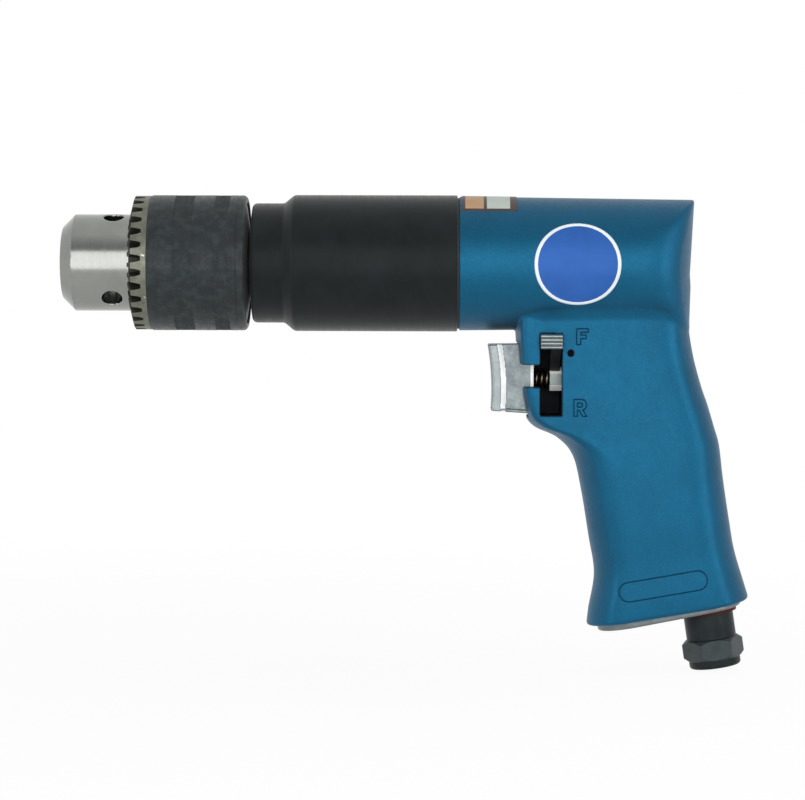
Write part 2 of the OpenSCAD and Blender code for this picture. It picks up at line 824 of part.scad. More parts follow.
// One section of the grip: a bowed front, two flat sides and a bowed back
function grip_section(row, inset = 0) =
    let (
        front = grip_point(row[0], row[1]),
        back = grip_point(row[2], row[3]),
        run = (back - front) / norm(back - front),
        depth = norm(back - front) - 2 * inset,
        half = row[4] * grip_w / 2 - inset,
        front_bow = row[5] * grip_w / 2,
        back_bow = min(row[6] * grip_w / 2, half),
        n = grip_arc_steps,
        m = grip_side_steps,
        flat = depth - front_bow - back_bow,
        outline = [
            for (i = [0:n]) bow(half, front_bow, i / n),
            for (i = [1:m - 1]) [front_bow + flat * i / m, half + grip_belly * sin(180 * i / m)],
            for (i = [0:n]) let (p = bow(half, back_bow, 1 - i / n)) [depth - p[0], p[1]],
            for (i = [1:m - 1]) [depth - back_bow - flat * i / m, -half - grip_belly * sin(180 * i / m)]
        ]
    )
    [for (p = outline) let (q = front + run * (p[0] + inset)) [q[0], p[1], q[1]]];

module grip_solid() {
    stations = len(grip_shares) - 1;
    count = stations * grip_steps;
    toe_edge_share = sole_edge / (grip_drop * (grip_shares[0][0] - grip_shares[1][0]));
    rings = [
        grip_section(station(0), sole_edge),
        grip_section(station(toe_edge_share)),
        for (i = [1:count]) grip_section(station(i / grip_steps))
    ];
    size = len(rings[0]);
    top = len(rings) - 1;
    polyhedron(
        points = [for (ring = rings) each ring],
        faces = [
            [for (j = [size - 1:-1:0]) j],
            for (i = [0:top - 1], j = [0:size - 1], half = [0, 1])
                let (
                    a = i * size + j,
                    b = i * size + (j + 1) % size
                )
                half == 0 ? [b + size, a + size, a] : [b + size, a, b],
            [for (j = [0:size - 1]) top * size + j]
        ]
    );
}

// The barrel tapers to the back, which is rounded from side to side
module barrel(proud = 0) {
    along_x(housing_x0)
        cylinder(r1 = barrel_r0 + proud, r2 = barrel_r1 + proud, h = housing_x1 - housing_x0);
}

module barrel_solid() {
    side_x = housing_x1 - back_round_r + sqrt(back_round_r * back_round_r - barrel_r1 * barrel_r1);
    intersection() {
        barrel();
        union() {
            block([housing_x0 - overrun, -barrel_d, -barrel_d], [side_x - overrun, barrel_d, barrel_d]);
            translate([housing_x1, 0, barrel_r1]) rotate([0, back_lean, 0])
                translate([-back_round_r, 0, -2 * barrel_d])
                    cylinder(r = back_round_r, h = 3 * barrel_d);
        }
    }
}

// Places on the sole, with Z along the sole's own normal
module on_sole(share) {
    place = toe + share * (heel - toe);
    translate([place[0], 0, place[1]]) rotate([0, -sole_tilt, 0]) children();
}

module on_inlet() {
    translate([inlet_at[0], 0, inlet_at[1]]) rotate([0, -inlet_tilt, 0]) children();
}

module at_sole_screws() {
    for (k = [0:len(sole_screw_shares) - 1])
        on_sole(sole_screw_shares[k]) translate([0, sole_screw_sides[k] * sole_screw_y, 0]) children();
}

module trigger_pocket() {
    block([trigger_x0, -trigger_w / 2 - free_gap, trigger_z0 - free_gap],
        [slot_x1, trigger_w / 2 + free_gap, trigger_z1 + free_gap]);
}

// The T shaped opening on the left: a slot for the lever, and a leg to the front
module lever_slot() {
    block([slot_x0, -grip_w, -stem_drop - slot_bottom], [slot_x1, 0, -stem_drop + slot_top]);
    block([trigger_x0, -grip_w, -stem_drop - slot_leg_bottom],
        [slot_x0 + overrun, 0, -stem_drop + slot_leg_top]);
}

module air_ways() {
    rod(slot_x1 - overrun, valve_bore_x1, valve_bore_r, -stem_drop);
    for (side = [-1, 1]) {
        translate([duct_x, side * duct_y, -stem_drop]) cylinder(r = port_r, h = stem_drop);
        translate([exhaust_top[0], side * side_duct_y, exhaust_top[1]])
            cylinder(r = side_duct_r, h = -exhaust_top[1]);
    }
    on_inlet() {
        translate([0, 0, -overrun]) cylinder(r = inlet_neck_r + fit_gap, h = inlet_thread_len + overrun);
        cylinder(r = inlet_passage_r, h = inlet_rise);
    }
    on_sole(exhaust_share) {
        translate([0, 0, -overrun]) cylinder(r = exhaust_r, h = exhaust_h + overrun);
        translate([0, 0, cross_duct_rise]) rotate([90, 0, 0])
            cylinder(r = cross_duct_r, h = 2 * (side_duct_y + side_duct_r + free_gap), center = true);
    }
}

module housing() {
    color("#1f6c94") difference() {
        union() {
            barrel_solid();
            grip_solid();
        }
        rod(housing_x0 - overrun, bore_end, liner_r);
        rod(housing_x0 - overrun, case_x1 + spigot_len + free_gap, spigot_r + run_gap);
        trigger_pocket();
        lever_slot();
        air_ways();
        translate([cross_pin_x, -grip_w, -stem_drop + cross_pin_rise]) rotate([-90, 0, 0])
            cylinder(r = cross_pin_r + fit_gap, h = grip_w - grip_flat + cross_pin_sink + cross_pin_len);
        at_sole_screws() translate([0, 0, -overrun])
            cylinder(r = sole_screw_r + fit_gap, h = sole_screw_len + overrun);
    }
}

module side_badge() {
    color("#3e73bc") intersection() {
        difference() {
            barrel(badge_t);
            barrel();
        }
        translate([badge_x, 0, 0]) rotate([90, 0, 0]) cylinder(r = badge_r, h = barrel_d);
    }
}

module top_label() {
    color("#b3bbb5") intersection() {
        difference() {
            barrel(label_t);
            barrel();
        }
        block([label_x, -barrel_d, label_low], [label_x + label_len, barrel_d, barrel_d]);
    }
}

// Trigger and valve

module trigger() {
    front = [
        for (i = [0:trigger_dish_steps]) let (s = i / trigger_dish_steps)
            [trigger_x0 + trigger_lean * s + 4 * trigger_dish * s * (1 - s), trigger_z1 - trigger_h * s]
    ];
    color("silver") difference() {
        rotate([90, 0, 0]) linear_extrude(trigger_w, center = true)
            polygon(concat(front, [[trigger_x1, trigger_z0], [trigger_x1, trigger_z1]]));
        for (side = [-1, 1]) mirror([0, side < 0 ? 1 : 0, 0]) block(
            [trigger_x0 + trigger_pad_t, trigger_w / 2 - trigger_recess, trigger_z0 + trigger_lip_h],
            [trigger_x1 + overrun, trigger_w, trigger_z1 + overrun]);
        rod(trigger_x1 - spring_pocket_depth, trigger_x1 + overrun, spring_pocket_r, -stem_drop);
        rod(trigger_x1 - stem_hold, trigger_x1, stem_r + fit_gap, -stem_drop);
    }
}

module trigger_stem() {
    color("silver") {
        rod(trigger_x1 - stem_hold, seat_x1 + free_gap + fit_gap, stem_r, -stem_drop);
        rod(seat_x1 + free_gap, seat_x1 + free_gap + poppet_len, poppet_r, -stem_drop);
    }
}

// The return spring is one tube swept along a helix
spring_x0 = trigger_x1 - spring_pocket_depth + spring_wire_r;
spring_x1 = hub_x0 - spring_wire_r;
spring_rings = 8 * spring_turns;
spring_sides = 6;
spring_pitch = (spring_x1 - spring_x0) / spring_turns;
function spring_turn(i) = i * spring_turns / spring_rings;
function spring_at(i) =
    let (a = 360 * spring_turn(i))
    [spring_x0 + spring_pitch * spring_turn(i), spring_r * sin(a), spring_r * cos(a) - stem_drop];
function spring_ring(i) =
    let (
        a = 360 * spring_turn(i),
        out = [0, sin(a), cos(a)],
        lead = atan2(spring_pitch, 2 * PI * spring_r),
        over = [cos(lead), -cos(a) * sin(lead), sin(a) * sin(lead)]
    )
    [
        for (j = [0:spring_sides - 1])
            let (b = 360 * j / spring_sides)
            spring_at(i) + spring_wire_r * (cos(b) * out + sin(b) * over)
    ];
spring_gap = min([
    for (i = [0:spring_rings], k = [i + 5:1:spring_rings])
        norm(spring_at(i) - spring_at(k))
]) - 2 * spring_wire_r;
echo(least_gap_in_trigger_spring = spring_gap);

module trigger_spring() {
    size = spring_sides;
    top = spring_rings;
    color("silver") polyhedron(
        points = [for (i = [0:spring_rings]) each spring_ring(i)],
        faces = [
            for (j = [1:size - 2]) [0, j + 1, j],
            for (i = [0:top - 1], j = [0:size - 1], half = [0, 1])
                let (
                    a = i * size + j,
                    b = i * size + (j + 1) % size
                )
                half == 0 ? [a, b, b + size] : [a, b + size, a + size],
            for (j = [1:size - 2]) [top * size, top * size + j, top * size + j + 1]
        ]
    );
}

module hub_bar(gap = 0) {
    h = hub_half + gap;
    c = hub_half - hub_chamfer;
    along_x(hub_x0, -stem_drop) linear_extrude(valve_x0 - hub_x0)
        polygon([[h, c], [c, h], [-c, h], [-h, c], [-h, -c], [-c, -h], [c, -h], [h, -c]]);
}

module lever_hub() {
    color("silver") difference() {
        union() {
            hub_bar();
            rod(valve_x0 - fit_gap, valve_x0 + hub_spigot_len, valve_hole_r - fit_gap, -stem_drop);
        }
        rod(hub_x0 - overrun, valve_x0 + hub_spigot_len + overrun, hub_hole_r, -stem_drop);
    }
}

// The arm leaves the hub's top towards the thumb knob on the left
module lever_bar(length) {
    translate([hub_x0, 0, -stem_drop + lever_lift]) rotate([-lever_angle, 0, 0])
        block([0, -length, -lever_t / 2], [lever_x1 - hub_x0, 0, lever_t / 2]);
}

module reverse_lever() {
    color("#3a3f40") difference() {
        lever_bar(lever_len);
        hub_bar();
    }
}

module reverse_knob() {
    low = [knob_x0, -knob_y - knob_out, -stem_drop + knob_rise - knob_h / 2];
    high = [knob_x0 + knob_len, -knob_y, -stem_drop + knob_rise + knob_h / 2];
    color("silver") difference() {
        block(low, high);
        lever_bar(lever_len);
        for (k = [1:knob_ridges])
            translate([low[0] - overrun, low[1], low[2] + k * knob_h / (knob_ridges + 1)])
                rotate([45, 0, 0]) translate([0, -knob_groove / 2, -knob_groove / 2])
                    cube([knob_len + 2 * overrun, knob_groove, knob_groove]);
    }
}

module reverse_valve() {
    groove_r = valve_r - valve_groove_depth;
    color("tan") difference() {
        rod(valve_x0, valve_x1, valve_r, -stem_drop);
        rod(valve_x0 - overrun, valve_x1 + overrun, valve_hole_r, -stem_drop);
        ring(valve_groove_x, valve_groove_x + valve_groove_w, valve_r + overrun, groove_r, -stem_drop);
        for (side = [-1, 1]) translate([duct_x, 0, -stem_drop]) rotate([side * valve_port_angle, 0, 0])
            cylinder(r = valve_port_r, h = valve_r + overrun);
    }
}

module valve_seat() {
    color("tan") ring(seat_x0, seat_x1, valve_bore_r - fit_gap, valve_hole_r, -stem_drop);
}

module valve_pin() {
    color("dimgray") translate([cross_pin_x, -grip_flat + cross_pin_sink, -stem_drop + cross_pin_rise])
        rotate([-90, 0, 0]) cylinder(r = cross_pin_r, h = cross_pin_len);
}

// Inlet and exhaust

module inlet_bushing() {
    hex_r = inlet_hex_af / 2 / cos(30);
    hex_flat_r = inlet_hex_af / 2;
    hex_bevel_h = (hex_r - hex_flat_r) * tan(hex_bevel);
    hex_z = -inlet_drop - inlet_hex_h;
    color("#2d3437") on_inlet() difference() {
        union() {
            translate([0, 0, -inlet_drop - fit_gap])
                cylinder(r = inlet_neck_r, h = inlet_drop + inlet_thread_len + fit_gap);
            intersection() {
                translate([0, 0, hex_z]) rotate([0, 0, inlet_turn])
                    cylinder(r = hex_r, h = inlet_hex_h, $fn = 6);
                rotate_extrude() polygon([
                    [0, hex_z], [hex_flat_r, hex_z], [hex_r, hex_z + hex_bevel_h],
                    [hex_r, -inlet_drop - hex_bevel_h], [hex_flat_r, -inlet_drop], [0, -inlet_drop]
                ]);
            }
            rotate_extrude() polygon([
                [0, hex_z - inlet_collar_h], [inlet_collar_r - inlet_collar_edge, hex_z - inlet_collar_h],
                [inlet_collar_r, hex_z - inlet_collar_h + inlet_collar_edge],
                [inlet_collar_r, hex_z + fit_gap], [0, hex_z + fit_gap]
            ]);
        }
        translate([0, 0, hex_z - inlet_collar_h - overrun])
            cylinder(r = inlet_bore / 2, h = inlet_depth + overrun);
        translate([0, 0, hex_z])
            cylinder(r = inlet_passage_r, h = inlet_drop + inlet_hex_h + inlet_thread_len + overrun);
    }
}

module inlet_screen() {
    top = -inlet_drop - inlet_hex_h - inlet_collar_h + inlet_depth;
    color("goldenrod") on_inlet() translate([0, 0, top]) difference() {
        cylinder(r = inlet_passage_r - bore_gap, h = screen_t);
        for (k = [0:screen_holes - 1]) rotate(k * 360 / screen_holes)
            translate([screen_ring_r, 0, -overrun]) cylinder(r = screen_hole_r, h = screen_t + 2 * overrun);
    }
}

module inlet_seal() {
    color("firebrick") on_inlet() translate([0, 0, -deflector_t]) difference() {
        cylinder(r = inlet_neck_r + inlet_seal_w, h = inlet_seal_w);
        translate([0, 0, -overrun]) cylinder(r = inlet_neck_r + bore_gap, h = inlet_seal_w + 2 * overrun);
    }
}

module exhaust_deflector() {
    front = -exhaust_share * sole_len + deflector_front + deflector_half;
    back = (1 - exhaust_share) * sole_len - deflector_back - deflector_half;
    color("silver") difference() {
        on_sole(exhaust_share) difference() {
            union() {
                translate([front, -deflector_half, -deflector_t])
                    cube([back - front, 2 * deflector_half, deflector_t]);
                for (x = [front, back]) translate([x, 0, -deflector_t])
                    cylinder(r = deflector_half, h = deflector_t);
            }
            for (k = [0:exhaust_slots - 1]) translate([
                (k - (exhaust_slots - 1) / 2) * 2 * exhaust_slot_w - exhaust_slot_w / 2,
                -exhaust_slot_len / 2, -deflector_t - overrun
            ]) cube([exhaust_slot_w, exhaust_slot_len, deflector_t + 2 * overrun]);
        }
        on_inlet() translate([0, 0, -2 * deflector_t])
            cylinder(r = inlet_neck_r + inlet_seal_w + bore_gap, h = 4 * deflector_t);
        at_sole_screws() sole_screw(bore_gap);
    }
}

module sole_screw(gap = 0) {
    head_h = sole_screw_head_r - sole_screw_r;
    translate([0, 0, -deflector_t - gap])
        cylinder(r1 = sole_screw_head_r + gap, r2 = sole_screw_r + gap, h = head_h + gap);
    translate([0, 0, -deflector_t])
        cylinder(r = sole_screw_r + gap, h = deflector_t + sole_screw_len - end_gap);
}

module muffler_felt() {
    color("beige") on_sole(exhaust_share) cylinder(r = exhaust_r - run_gap, h = felt_h);
}

module deflector_screws() {
    color("gray") at_sole_screws() sole_screw();
}

housing();
gear_case();
case_gasket();
ring_gear();
dust_seal();
spindle_front_bearing_outer();
spindle_rear_bearing_outer();
bearing_spacer();
bearing_retainer();
front_end_plate();
rear_end_plate();
motor_cylinder();
rotor_front_bearing_outer();
rotor_rear_bearing_outer();
cylinder_pin();
motor_gasket();
valve_seat();
valve_pin();
inlet_bushing();
inlet_screen();
inlet_seal();
exhaust_deflector();
muffler_felt();
deflector_screws();
side_badge();
top_label();
spindle();
spindle_front_bearing_inner();
spindle_rear_bearing_inner();
second_stage_pins();
chuck_body();
chuck_screw();
chuck_sleeve();
chuck_nut();
chuck_jaw_1();
chuck_jaw_2();
chuck_jaw_3();
second_stage_planet_1();
second_stage_planet_2();
second_stage_planet_3();
first_stage_carrier();
first_stage_pins();
first_stage_planet_1();
first_stage_planet_2();
first_stage_planet_3();
rotor();
rotor_vanes();
rotor_front_bearing_inner();
rotor_rear_bearing_inner();
trigger();
trigger_stem();
trigger_spring();
reverse_lever();
reverse_knob();
lever_hub();
reverse_valve();
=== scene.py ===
"""Dress the pistol grip air drill: painted casting, turned chuck, trigger and fittings."""

import logging
import math
from dataclasses import dataclass
from enum import Enum
from typing import Callable, Optional, Sequence

import bpy
import numpy as np
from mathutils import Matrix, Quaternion, Vector


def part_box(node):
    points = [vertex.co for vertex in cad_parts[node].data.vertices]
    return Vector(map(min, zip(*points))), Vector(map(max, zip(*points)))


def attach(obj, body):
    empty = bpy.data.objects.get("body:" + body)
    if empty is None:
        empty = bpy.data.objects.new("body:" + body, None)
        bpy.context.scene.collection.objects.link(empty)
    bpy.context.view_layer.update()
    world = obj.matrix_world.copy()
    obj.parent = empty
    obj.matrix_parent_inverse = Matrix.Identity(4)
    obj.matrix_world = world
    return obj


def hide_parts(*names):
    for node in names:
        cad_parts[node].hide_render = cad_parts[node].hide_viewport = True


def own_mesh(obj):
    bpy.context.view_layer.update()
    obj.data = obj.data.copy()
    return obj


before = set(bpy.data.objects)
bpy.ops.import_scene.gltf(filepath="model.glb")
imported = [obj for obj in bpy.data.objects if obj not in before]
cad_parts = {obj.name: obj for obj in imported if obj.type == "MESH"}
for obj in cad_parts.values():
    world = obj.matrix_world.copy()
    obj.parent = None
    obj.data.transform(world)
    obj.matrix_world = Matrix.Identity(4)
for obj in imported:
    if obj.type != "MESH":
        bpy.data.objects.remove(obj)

Array = np.ndarray
Field = Callable[[Array], Array]

LOG = logging.getLogger("air_drill")
MM = 0.001
STEM_Z = -36.6
INLET_WAY = np.array([0.14781, 0.0, -0.98902])
ACROSS_INLET = np.array([0.98902, 0.0, 0.14781])


class Body(Enum):
    """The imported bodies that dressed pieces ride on."""

    HOUSING = "housing"
    SPINDLE = "spindle"
    SLEEVE = "chuck_sleeve"
    TRIGGER = "trigger"
    LEVER = "reverse_lever"
    JAW_1 = "chuck_jaw_1"
    JAW_2 = "chuck_jaw_2"
    JAW_3 = "chuck_jaw_3"


class Slot(Enum):
    """The record's material slots, passed to show but not used there."""

    BLUE_PAINT = "blue_paint"
    BLACK_STEEL = "black_oxide_steel"
    BARE_STEEL = "bare_steel"
    CAST_SILVER = "cast_silver"
    SPRING_STEEL = "spring_steel"
    GEAR_STEEL = "gear_steel"
    BADGE = "blue_badge"
    LABEL = "printed_label"


def linear(colour: str) -> tuple[float, float, float, float]:
    """Turn an sRGB hex colour to linear light.

    Args:
        colour: Six hex digits after a hash.

    Returns:
        Linear red, green, blue and an alpha of one.
    """
    parts = [int(colour[k:k + 2], 16) / 255 for k in (1, 3, 5)]
    red, green, blue = [c / 12.92 if c <= 0.04045 else ((c + 0.055) / 1.055) ** 2.4 for c in parts]
    return red, green, blue, 1.0


def add(tree: bpy.types.NodeTree, kind: str, settings: Optional[dict] = None,
        links: Optional[dict] = None, **properties: object) -> bpy.types.Node:
    """Add a shader node with its settings and links.

    Args:
        tree: The node tree.
        kind: Blender's name for the node.
        settings: Constant values by socket.
        links: Output sockets to join, by input socket.
        **properties: The node's own properties.

    Returns:
        The new node.
    """
    made = tree.nodes.new(kind)
    for name, value in properties.items():
        setattr(made, name, value)
    for name, value in (settings or {}).items():
        made.inputs[name].default_value = value
    for name, source in (links or {}).items():
        tree.links.new(source, made.inputs[name])
    return made


@dataclass(frozen=True)
class Finish:
    """A surface finish, with every pattern's size in millimetres on Object coordinates.

    A noise mixes the colour and its tint, a stretched grain gives bump and gloss changes,
    flakes sparkle in a lacquer, and worn edges show the metal below.
    """

    name: str
    colour: str
    roughness: float
    metallic: float = 0.0
    tint: str = ""
    blotch_mm: float = 8.0
    blotch_edge: tuple[float, float] = (0.35, 0.7)
    grain_mm: tuple[float, float, float] = (0.5, 0.5, 0.5)
    grain_height: float = 0.0
    gloss_spread: float = 0.0
    flake_mm: float = 0.0
    flake: str = ""
    wear: str = ""
    wear_edge: tuple[float, float] = (0.53, 0.6)
    coat: float = 0.0
    coat_roughness: float = 0.1
    sheen: float = 0.0
    gloss: float = 0.5

    def material(self) -> bpy.types.Material:
        """Make the material once, or find it again.

        Returns:
            The material.
        """
        made = bpy.data.materials.get(self.name)
        if made:
            return made
        made = bpy.data.materials.new(self.name)
        made.use_nodes = True
        tree = made.node_tree
        shader = tree.nodes["Principled BSDF"]
        constants = {
            "Base Color": linear(self.colour), "Roughness": self.roughness, "Metallic": self.metallic,
            "Coat Weight": self.coat, "Coat Roughness": self.coat_roughness, "Sheen Weight": self.sheen,
            "Specular IOR Level": self.gloss,
        }
        for name, value in constants.items():
            shader.inputs[name].default_value = value
        place = add(tree, "ShaderNodeTexCoord").outputs["Object"]
        colour = self.coloured(tree, place)
        if colour:
            tree.links.new(colour, shader.inputs["Base Color"])
        if self.grain_height or self.gloss_spread:
            self.grained(tree, place, shader)
        return made

    def coloured(self, tree: bpy.types.NodeTree,
                 place: bpy.types.NodeSocket) -> Optional[bpy.types.NodeSocket]:
        """Mix the colour with its tint, its flakes and its worn edges.

        Args:
            tree: The node tree.
            place: Object coordinates.

        Returns:
            The mixed colour, or None where the colour is plain.
        """
        mixed = None
        if self.tint:
            noise = add(tree, "ShaderNodeTexNoise", {"Scale": 1 / (self.blotch_mm * MM), "Detail": 5.0,
                        "Roughness": 0.6}, {"Vector": place})
            share = add(tree, "ShaderNodeMapRange", {"From Min": self.blotch_edge[0],
                        "From Max": self.blotch_edge[1]}, {"Value": noise.outputs[0]})
            mixed = self.mix(tree, share.outputs[0], mixed, self.tint)
        if self.flake:
            cells = add(tree, "ShaderNodeTexVoronoi", {"Scale": 1 / (self.flake_mm * MM)}, {"Vector": place})
            pick = add(tree, "ShaderNodeSeparateColor", links={0: cells.outputs["Color"]})
            share = add(tree, "ShaderNodeMapRange", {"From Min": 0.55, "From Max": 1.0, "To Max": 0.16},
                        {"Value": pick.outputs[0]})
            mixed = self.mix(tree, share.outputs[0], mixed, self.flake)
        if self.wear:
            edge = add(tree, "ShaderNodeNewGeometry").outputs["Pointiness"]
            rub = add(tree, "ShaderNodeTexNoise", {"Scale": 1 / (2.5 * MM), "Detail": 4.0}, {"Vector": place})
            shift = add(tree, "ShaderNodeMapRange", {"To Min": -0.03, "To Max": 0.03},
                        {"Value": rub.outputs[0]})
            worn = add(tree, "ShaderNodeMath", links={0: edge, 1: shift.outputs[0]}, operation="ADD")
            share = add(tree, "ShaderNodeMapRange", {"From Min": self.wear_edge[0],
                        "From Max": self.wear_edge[1], "To Max": 0.8}, {"Value": worn.outputs[0]})
            mixed = self.mix(tree, share.outputs[0], mixed, self.wear)
        return mixed

    def mix(self, tree: bpy.types.NodeTree, share: bpy.types.NodeSocket,
            below: Optional[bpy.types.NodeSocket], colour: str) -> bpy.types.NodeSocket:
        """Lay a colour over what is below by a share.

        Args:
            tree: The node tree.
            share: How much of the new colour shows.
            below: The colour so far, or None for the finish's own.
            colour: The new colour, as hex.

        Returns:
            The mixed colour.
        """
        made = add(tree, "ShaderNodeMix", data_type="RGBA")
        tree.links.new(share, made.inputs["Factor"])
        first, second = [s for s in made.inputs if s.type == "RGBA"]
        second.default_value = linear(colour)
        if below:
            tree.links.new(below, first)
        else:
            first.default_value = linear(self.colour)
        return next(s for s in made.outputs if s.type == "RGBA")

    def grained(self, tree: bpy.types.NodeTree, place: bpy.types.NodeSocket, shader: bpy.types.Node) -> None:
        """Give the surface its grain, as bump and as changes of gloss.

        Args:
            tree: The node tree.
            place: Object coordinates.
            shader: The surface shader.
        """
        scale = tuple(1 / (size * MM) for size in self.grain_mm)
        spread = add(tree, "ShaderNodeMapping", {"Scale": scale}, {"Vector": place})
        noise = add(tree, "ShaderNodeTexNoise", {"Scale": 1.0, "Detail": 3.0}, {"Vector": spread.outputs[0]})
        if self.grain_height:
            bump = add(tree, "ShaderNodeBump", {"Distance": self.grain_height * MM},
                       {"Height": noise.outputs[0]})
            tree.links.new(bump.outputs[0], shader.inputs["Normal"])
        if self.gloss_spread:
            gloss = add(tree, "ShaderNodeMapRange", {
                "From Min": 0.3, "From Max": 0.7, "To Min": self.roughness - self.gloss_spread,
                "To Max": self.roughness + self.gloss_spread}, {"Value": noise.outputs[0]})
            tree.links.new(gloss.outputs[0], shader.inputs["Roughness"])


# Metallic lacquer on die cast aluminium: blue flakes under a clear coat, orange peel
BLUE_LACQUER = Finish("metallic_blue_lacquer", "#125676", 0.5, 0.95, tint="#12506e", blotch_mm=14,
                      flake_mm=0.22, flake="#2a7c9e", grain_mm=(1.6, 1.6, 1.6), grain_height=0.005,
                      gloss_spread=0.04, coat=0.03, coat_roughness=0.2, sheen=0.06)
# Walls inside the openings: bare casting, near black as painted shade for the shadow inside pocket, slot and
# bores
SHADED_CAVITY_WALL = Finish("painted_shade_casting_wall", "#0d1418", 0.5, tint="#121a1e", blotch_mm=3,
                    grain_mm=(0.6, 0.6, 0.6), grain_height=0.01, gloss_spread=0.08, gloss=0.1)
# Black oxide on turned steel: near black, fine lines round the axis, grey on edges
BLACK_OXIDE = Finish("black_oxide_turned_steel", "#131819", 0.36, tint="#191e20", blotch_mm=9,
                     grain_mm=(0.35, 9, 9), grain_height=0.004, gloss_spread=0.07, wear="#6d7372",
                     wear_edge=(0.56, 0.66), gloss=0.08, sheen=0.1)
# The sleeve's oxide is rubbed by hands and the key: blotchy, with bare steel on its edges
WORN_OXIDE = Finish("worn_black_oxide_steel", "#24292b", 0.42, 0.2, tint="#343b3c", blotch_mm=3,
                    blotch_edge=(0.45, 0.75), grain_mm=(0.5, 4, 4), grain_height=0.006, gloss_spread=0.1,
                    gloss=0.2, sheen=0.05)
# Bare machined teeth, oiled and a little yellowed
BARE_TEETH = Finish("bare_machined_tooth_steel", "#75766a", 0.42, 0.8, tint="#5c5d54", blotch_mm=3,
                    grain_mm=(0.6, 1.5, 1.5), grain_height=0.01, gloss_spread=0.08, wear="#c9c9bf",
                    wear_edge=(0.54, 0.62))
# Old oil and painted shade between the teeth, on the sloping front and on the core under the sleeve
OIL_AND_SHADE_STEEL = Finish("oil_and_painted_shade_tooth_gap", "#23241f", 0.4, 0.3, tint="#2f3029", blotch_mm=2, gloss_spread=0.08,
                     grain_mm=(0.6, 1.5, 1.5), grain_height=0.01, gloss=0.25)
# Turned steel: bright, with fine tool lines round the axis
TURNED_STEEL = Finish("turned_bright_steel", "#90928e", 0.2, 1.0, tint="#868884", blotch_mm=10,
                      grain_mm=(0.3, 12, 12), grain_height=0.002, gloss_spread=0.04)
# Die cast alloy, tumbled: satin grey with rubbed edges
CAST_ALLOY = Finish("tumbled_cast_alloy", "#8d9596", 0.4, 0.85, tint="#7f8789", blotch_mm=4,
                    grain_mm=(0.7, 0.7, 0.7), grain_height=0.012, gloss_spread=0.08)
# The same alloy on the exhaust plate, darker and greyer as painted shade for the downward facing sole
SHADED_PLATE_ALLOY = Finish("plate_alloy_painted_shade", "#757c7e", 0.38, 0.85, tint="#666d6f", blotch_mm=5,
                     grain_mm=(0.7, 0.7, 0.7), grain_height=0.015, gloss_spread=0.08)
# The same alloy on the trigger's hollowed flanks, as cast and duller, its darker colour painted shade for the
# hollow
SHADED_FLANK_ALLOY = Finish("as_cast_painted_shade_alloy", "#848d8f", 0.45, 0.85, tint="#6b7376", blotch_mm=5,
                    blotch_edge=(0.4, 0.65), grain_mm=(0.7, 0.7, 0.7), grain_height=0.02, gloss_spread=0.08)
# Painted highlight: near white alloy on the trigger's bevels and leg end and on the hub's chamfers
HIGHLIGHT_ALLOY = Finish("painted_highlight_alloy", "#fafbfa", 0.35, tint="#f0f2f1", blotch_mm=3,
                      grain_mm=(0.7, 0.7, 0.7), grain_height=0.006, gloss_spread=0.08)
# Machined steel of hub and stem: smooth and bright
BRIGHT_STEEL = Finish("machined_bright_steel", "#b4b8b8", 0.24, 1.0, tint="#a4a9a9", blotch_mm=4,
                      grain_mm=(0.2, 2, 2), grain_height=0.002, gloss_spread=0.05)
# Black phosphated steel of lever arm and inlet: matt and dark
PHOSPHATE = Finish("black_phosphated_steel", "#1d2325", 0.42, 0.3, tint="#262c2e", blotch_mm=5,
                   grain_height=0.006, gloss_spread=0.08, gloss=0.15)
# The hexagon, lighter than the collar
LIGHTER_PHOSPHATE = Finish("lighter_phosphated_steel", "#323a3c", 0.4, 0.3, tint="#3e4647", blotch_mm=4,
                          grain_height=0.008, gloss_spread=0.08, gloss=0.25)
# Oil blackened steel of pins, screw and stem, near black also as painted shade for the pin in its hole
DARK_STEEL = Finish("oil_blackened_shaded_steel", "#0e1214", 0.4, tint="#14181a", blotch_mm=3,
                    grain_mm=(0.3, 0.3, 0.3), gloss_spread=0.06, gloss=0.02)
# The hub's milled flats
HUB_STEEL = Finish("milled_hub_steel", "#717a78", 0.34, 0.95, tint="#656d6b", blotch_mm=3,
                   grain_mm=(0.25, 2, 2), grain_height=0.003, gloss_spread=0.06)
# Hardened wire, tempered to a light brown
SPRING_WIRE = Finish("tempered_spring_steel", "#8d7f6c", 0.3, 1.0, tint="#756a5c", blotch_mm=2,
                     grain_mm=(0.3, 0.3, 0.3), gloss_spread=0.06)
# Case hardened gears: grey, ground flanks
GEAR_STEEL = Finish("ground_gear_steel", "#8a8d8f", 0.3, 1.0, tint="#7a7d80", blotch_mm=5,
                    grain_mm=(0.3, 3, 3), grain_height=0.003, gloss_spread=0.06)
# Polished bearing races
BEARING_STEEL = Finish("polished_bearing_steel", "#b9bcbd", 0.16, 1.0, tint="#adb1b3", blotch_mm=8,
                       grain_mm=(0.2, 5, 5), gloss_spread=0.04)
# Sintered bronze of valve and seat: warm, with open pores
BRONZE = Finish("sintered_bronze", "#a5783f", 0.42, 1.0, tint="#86602f", blotch_mm=0.8,
                grain_mm=(0.25, 0.25, 0.25), grain_height=0.01, gloss_spread=0.08)
# Nitrile rubber of gaskets and seals: black and matt
BLACK_RUBBER = Finish("black_nitrile_rubber", "#1d1e1f", 0.62, tint="#26282a", blotch_mm=3,
                      grain_mm=(0.3, 0.3, 0.3), grain_height=0.01, gloss_spread=0.06)
# Silicone seal at the inlet's neck
RED_RUBBER = Finish("red_silicone_rubber", "#54201d", 0.55, tint="#461a18", blotch_mm=3,
                    grain_mm=(0.3, 0.3, 0.3), grain_height=0.008, gloss_spread=0.06, gloss=0.1)
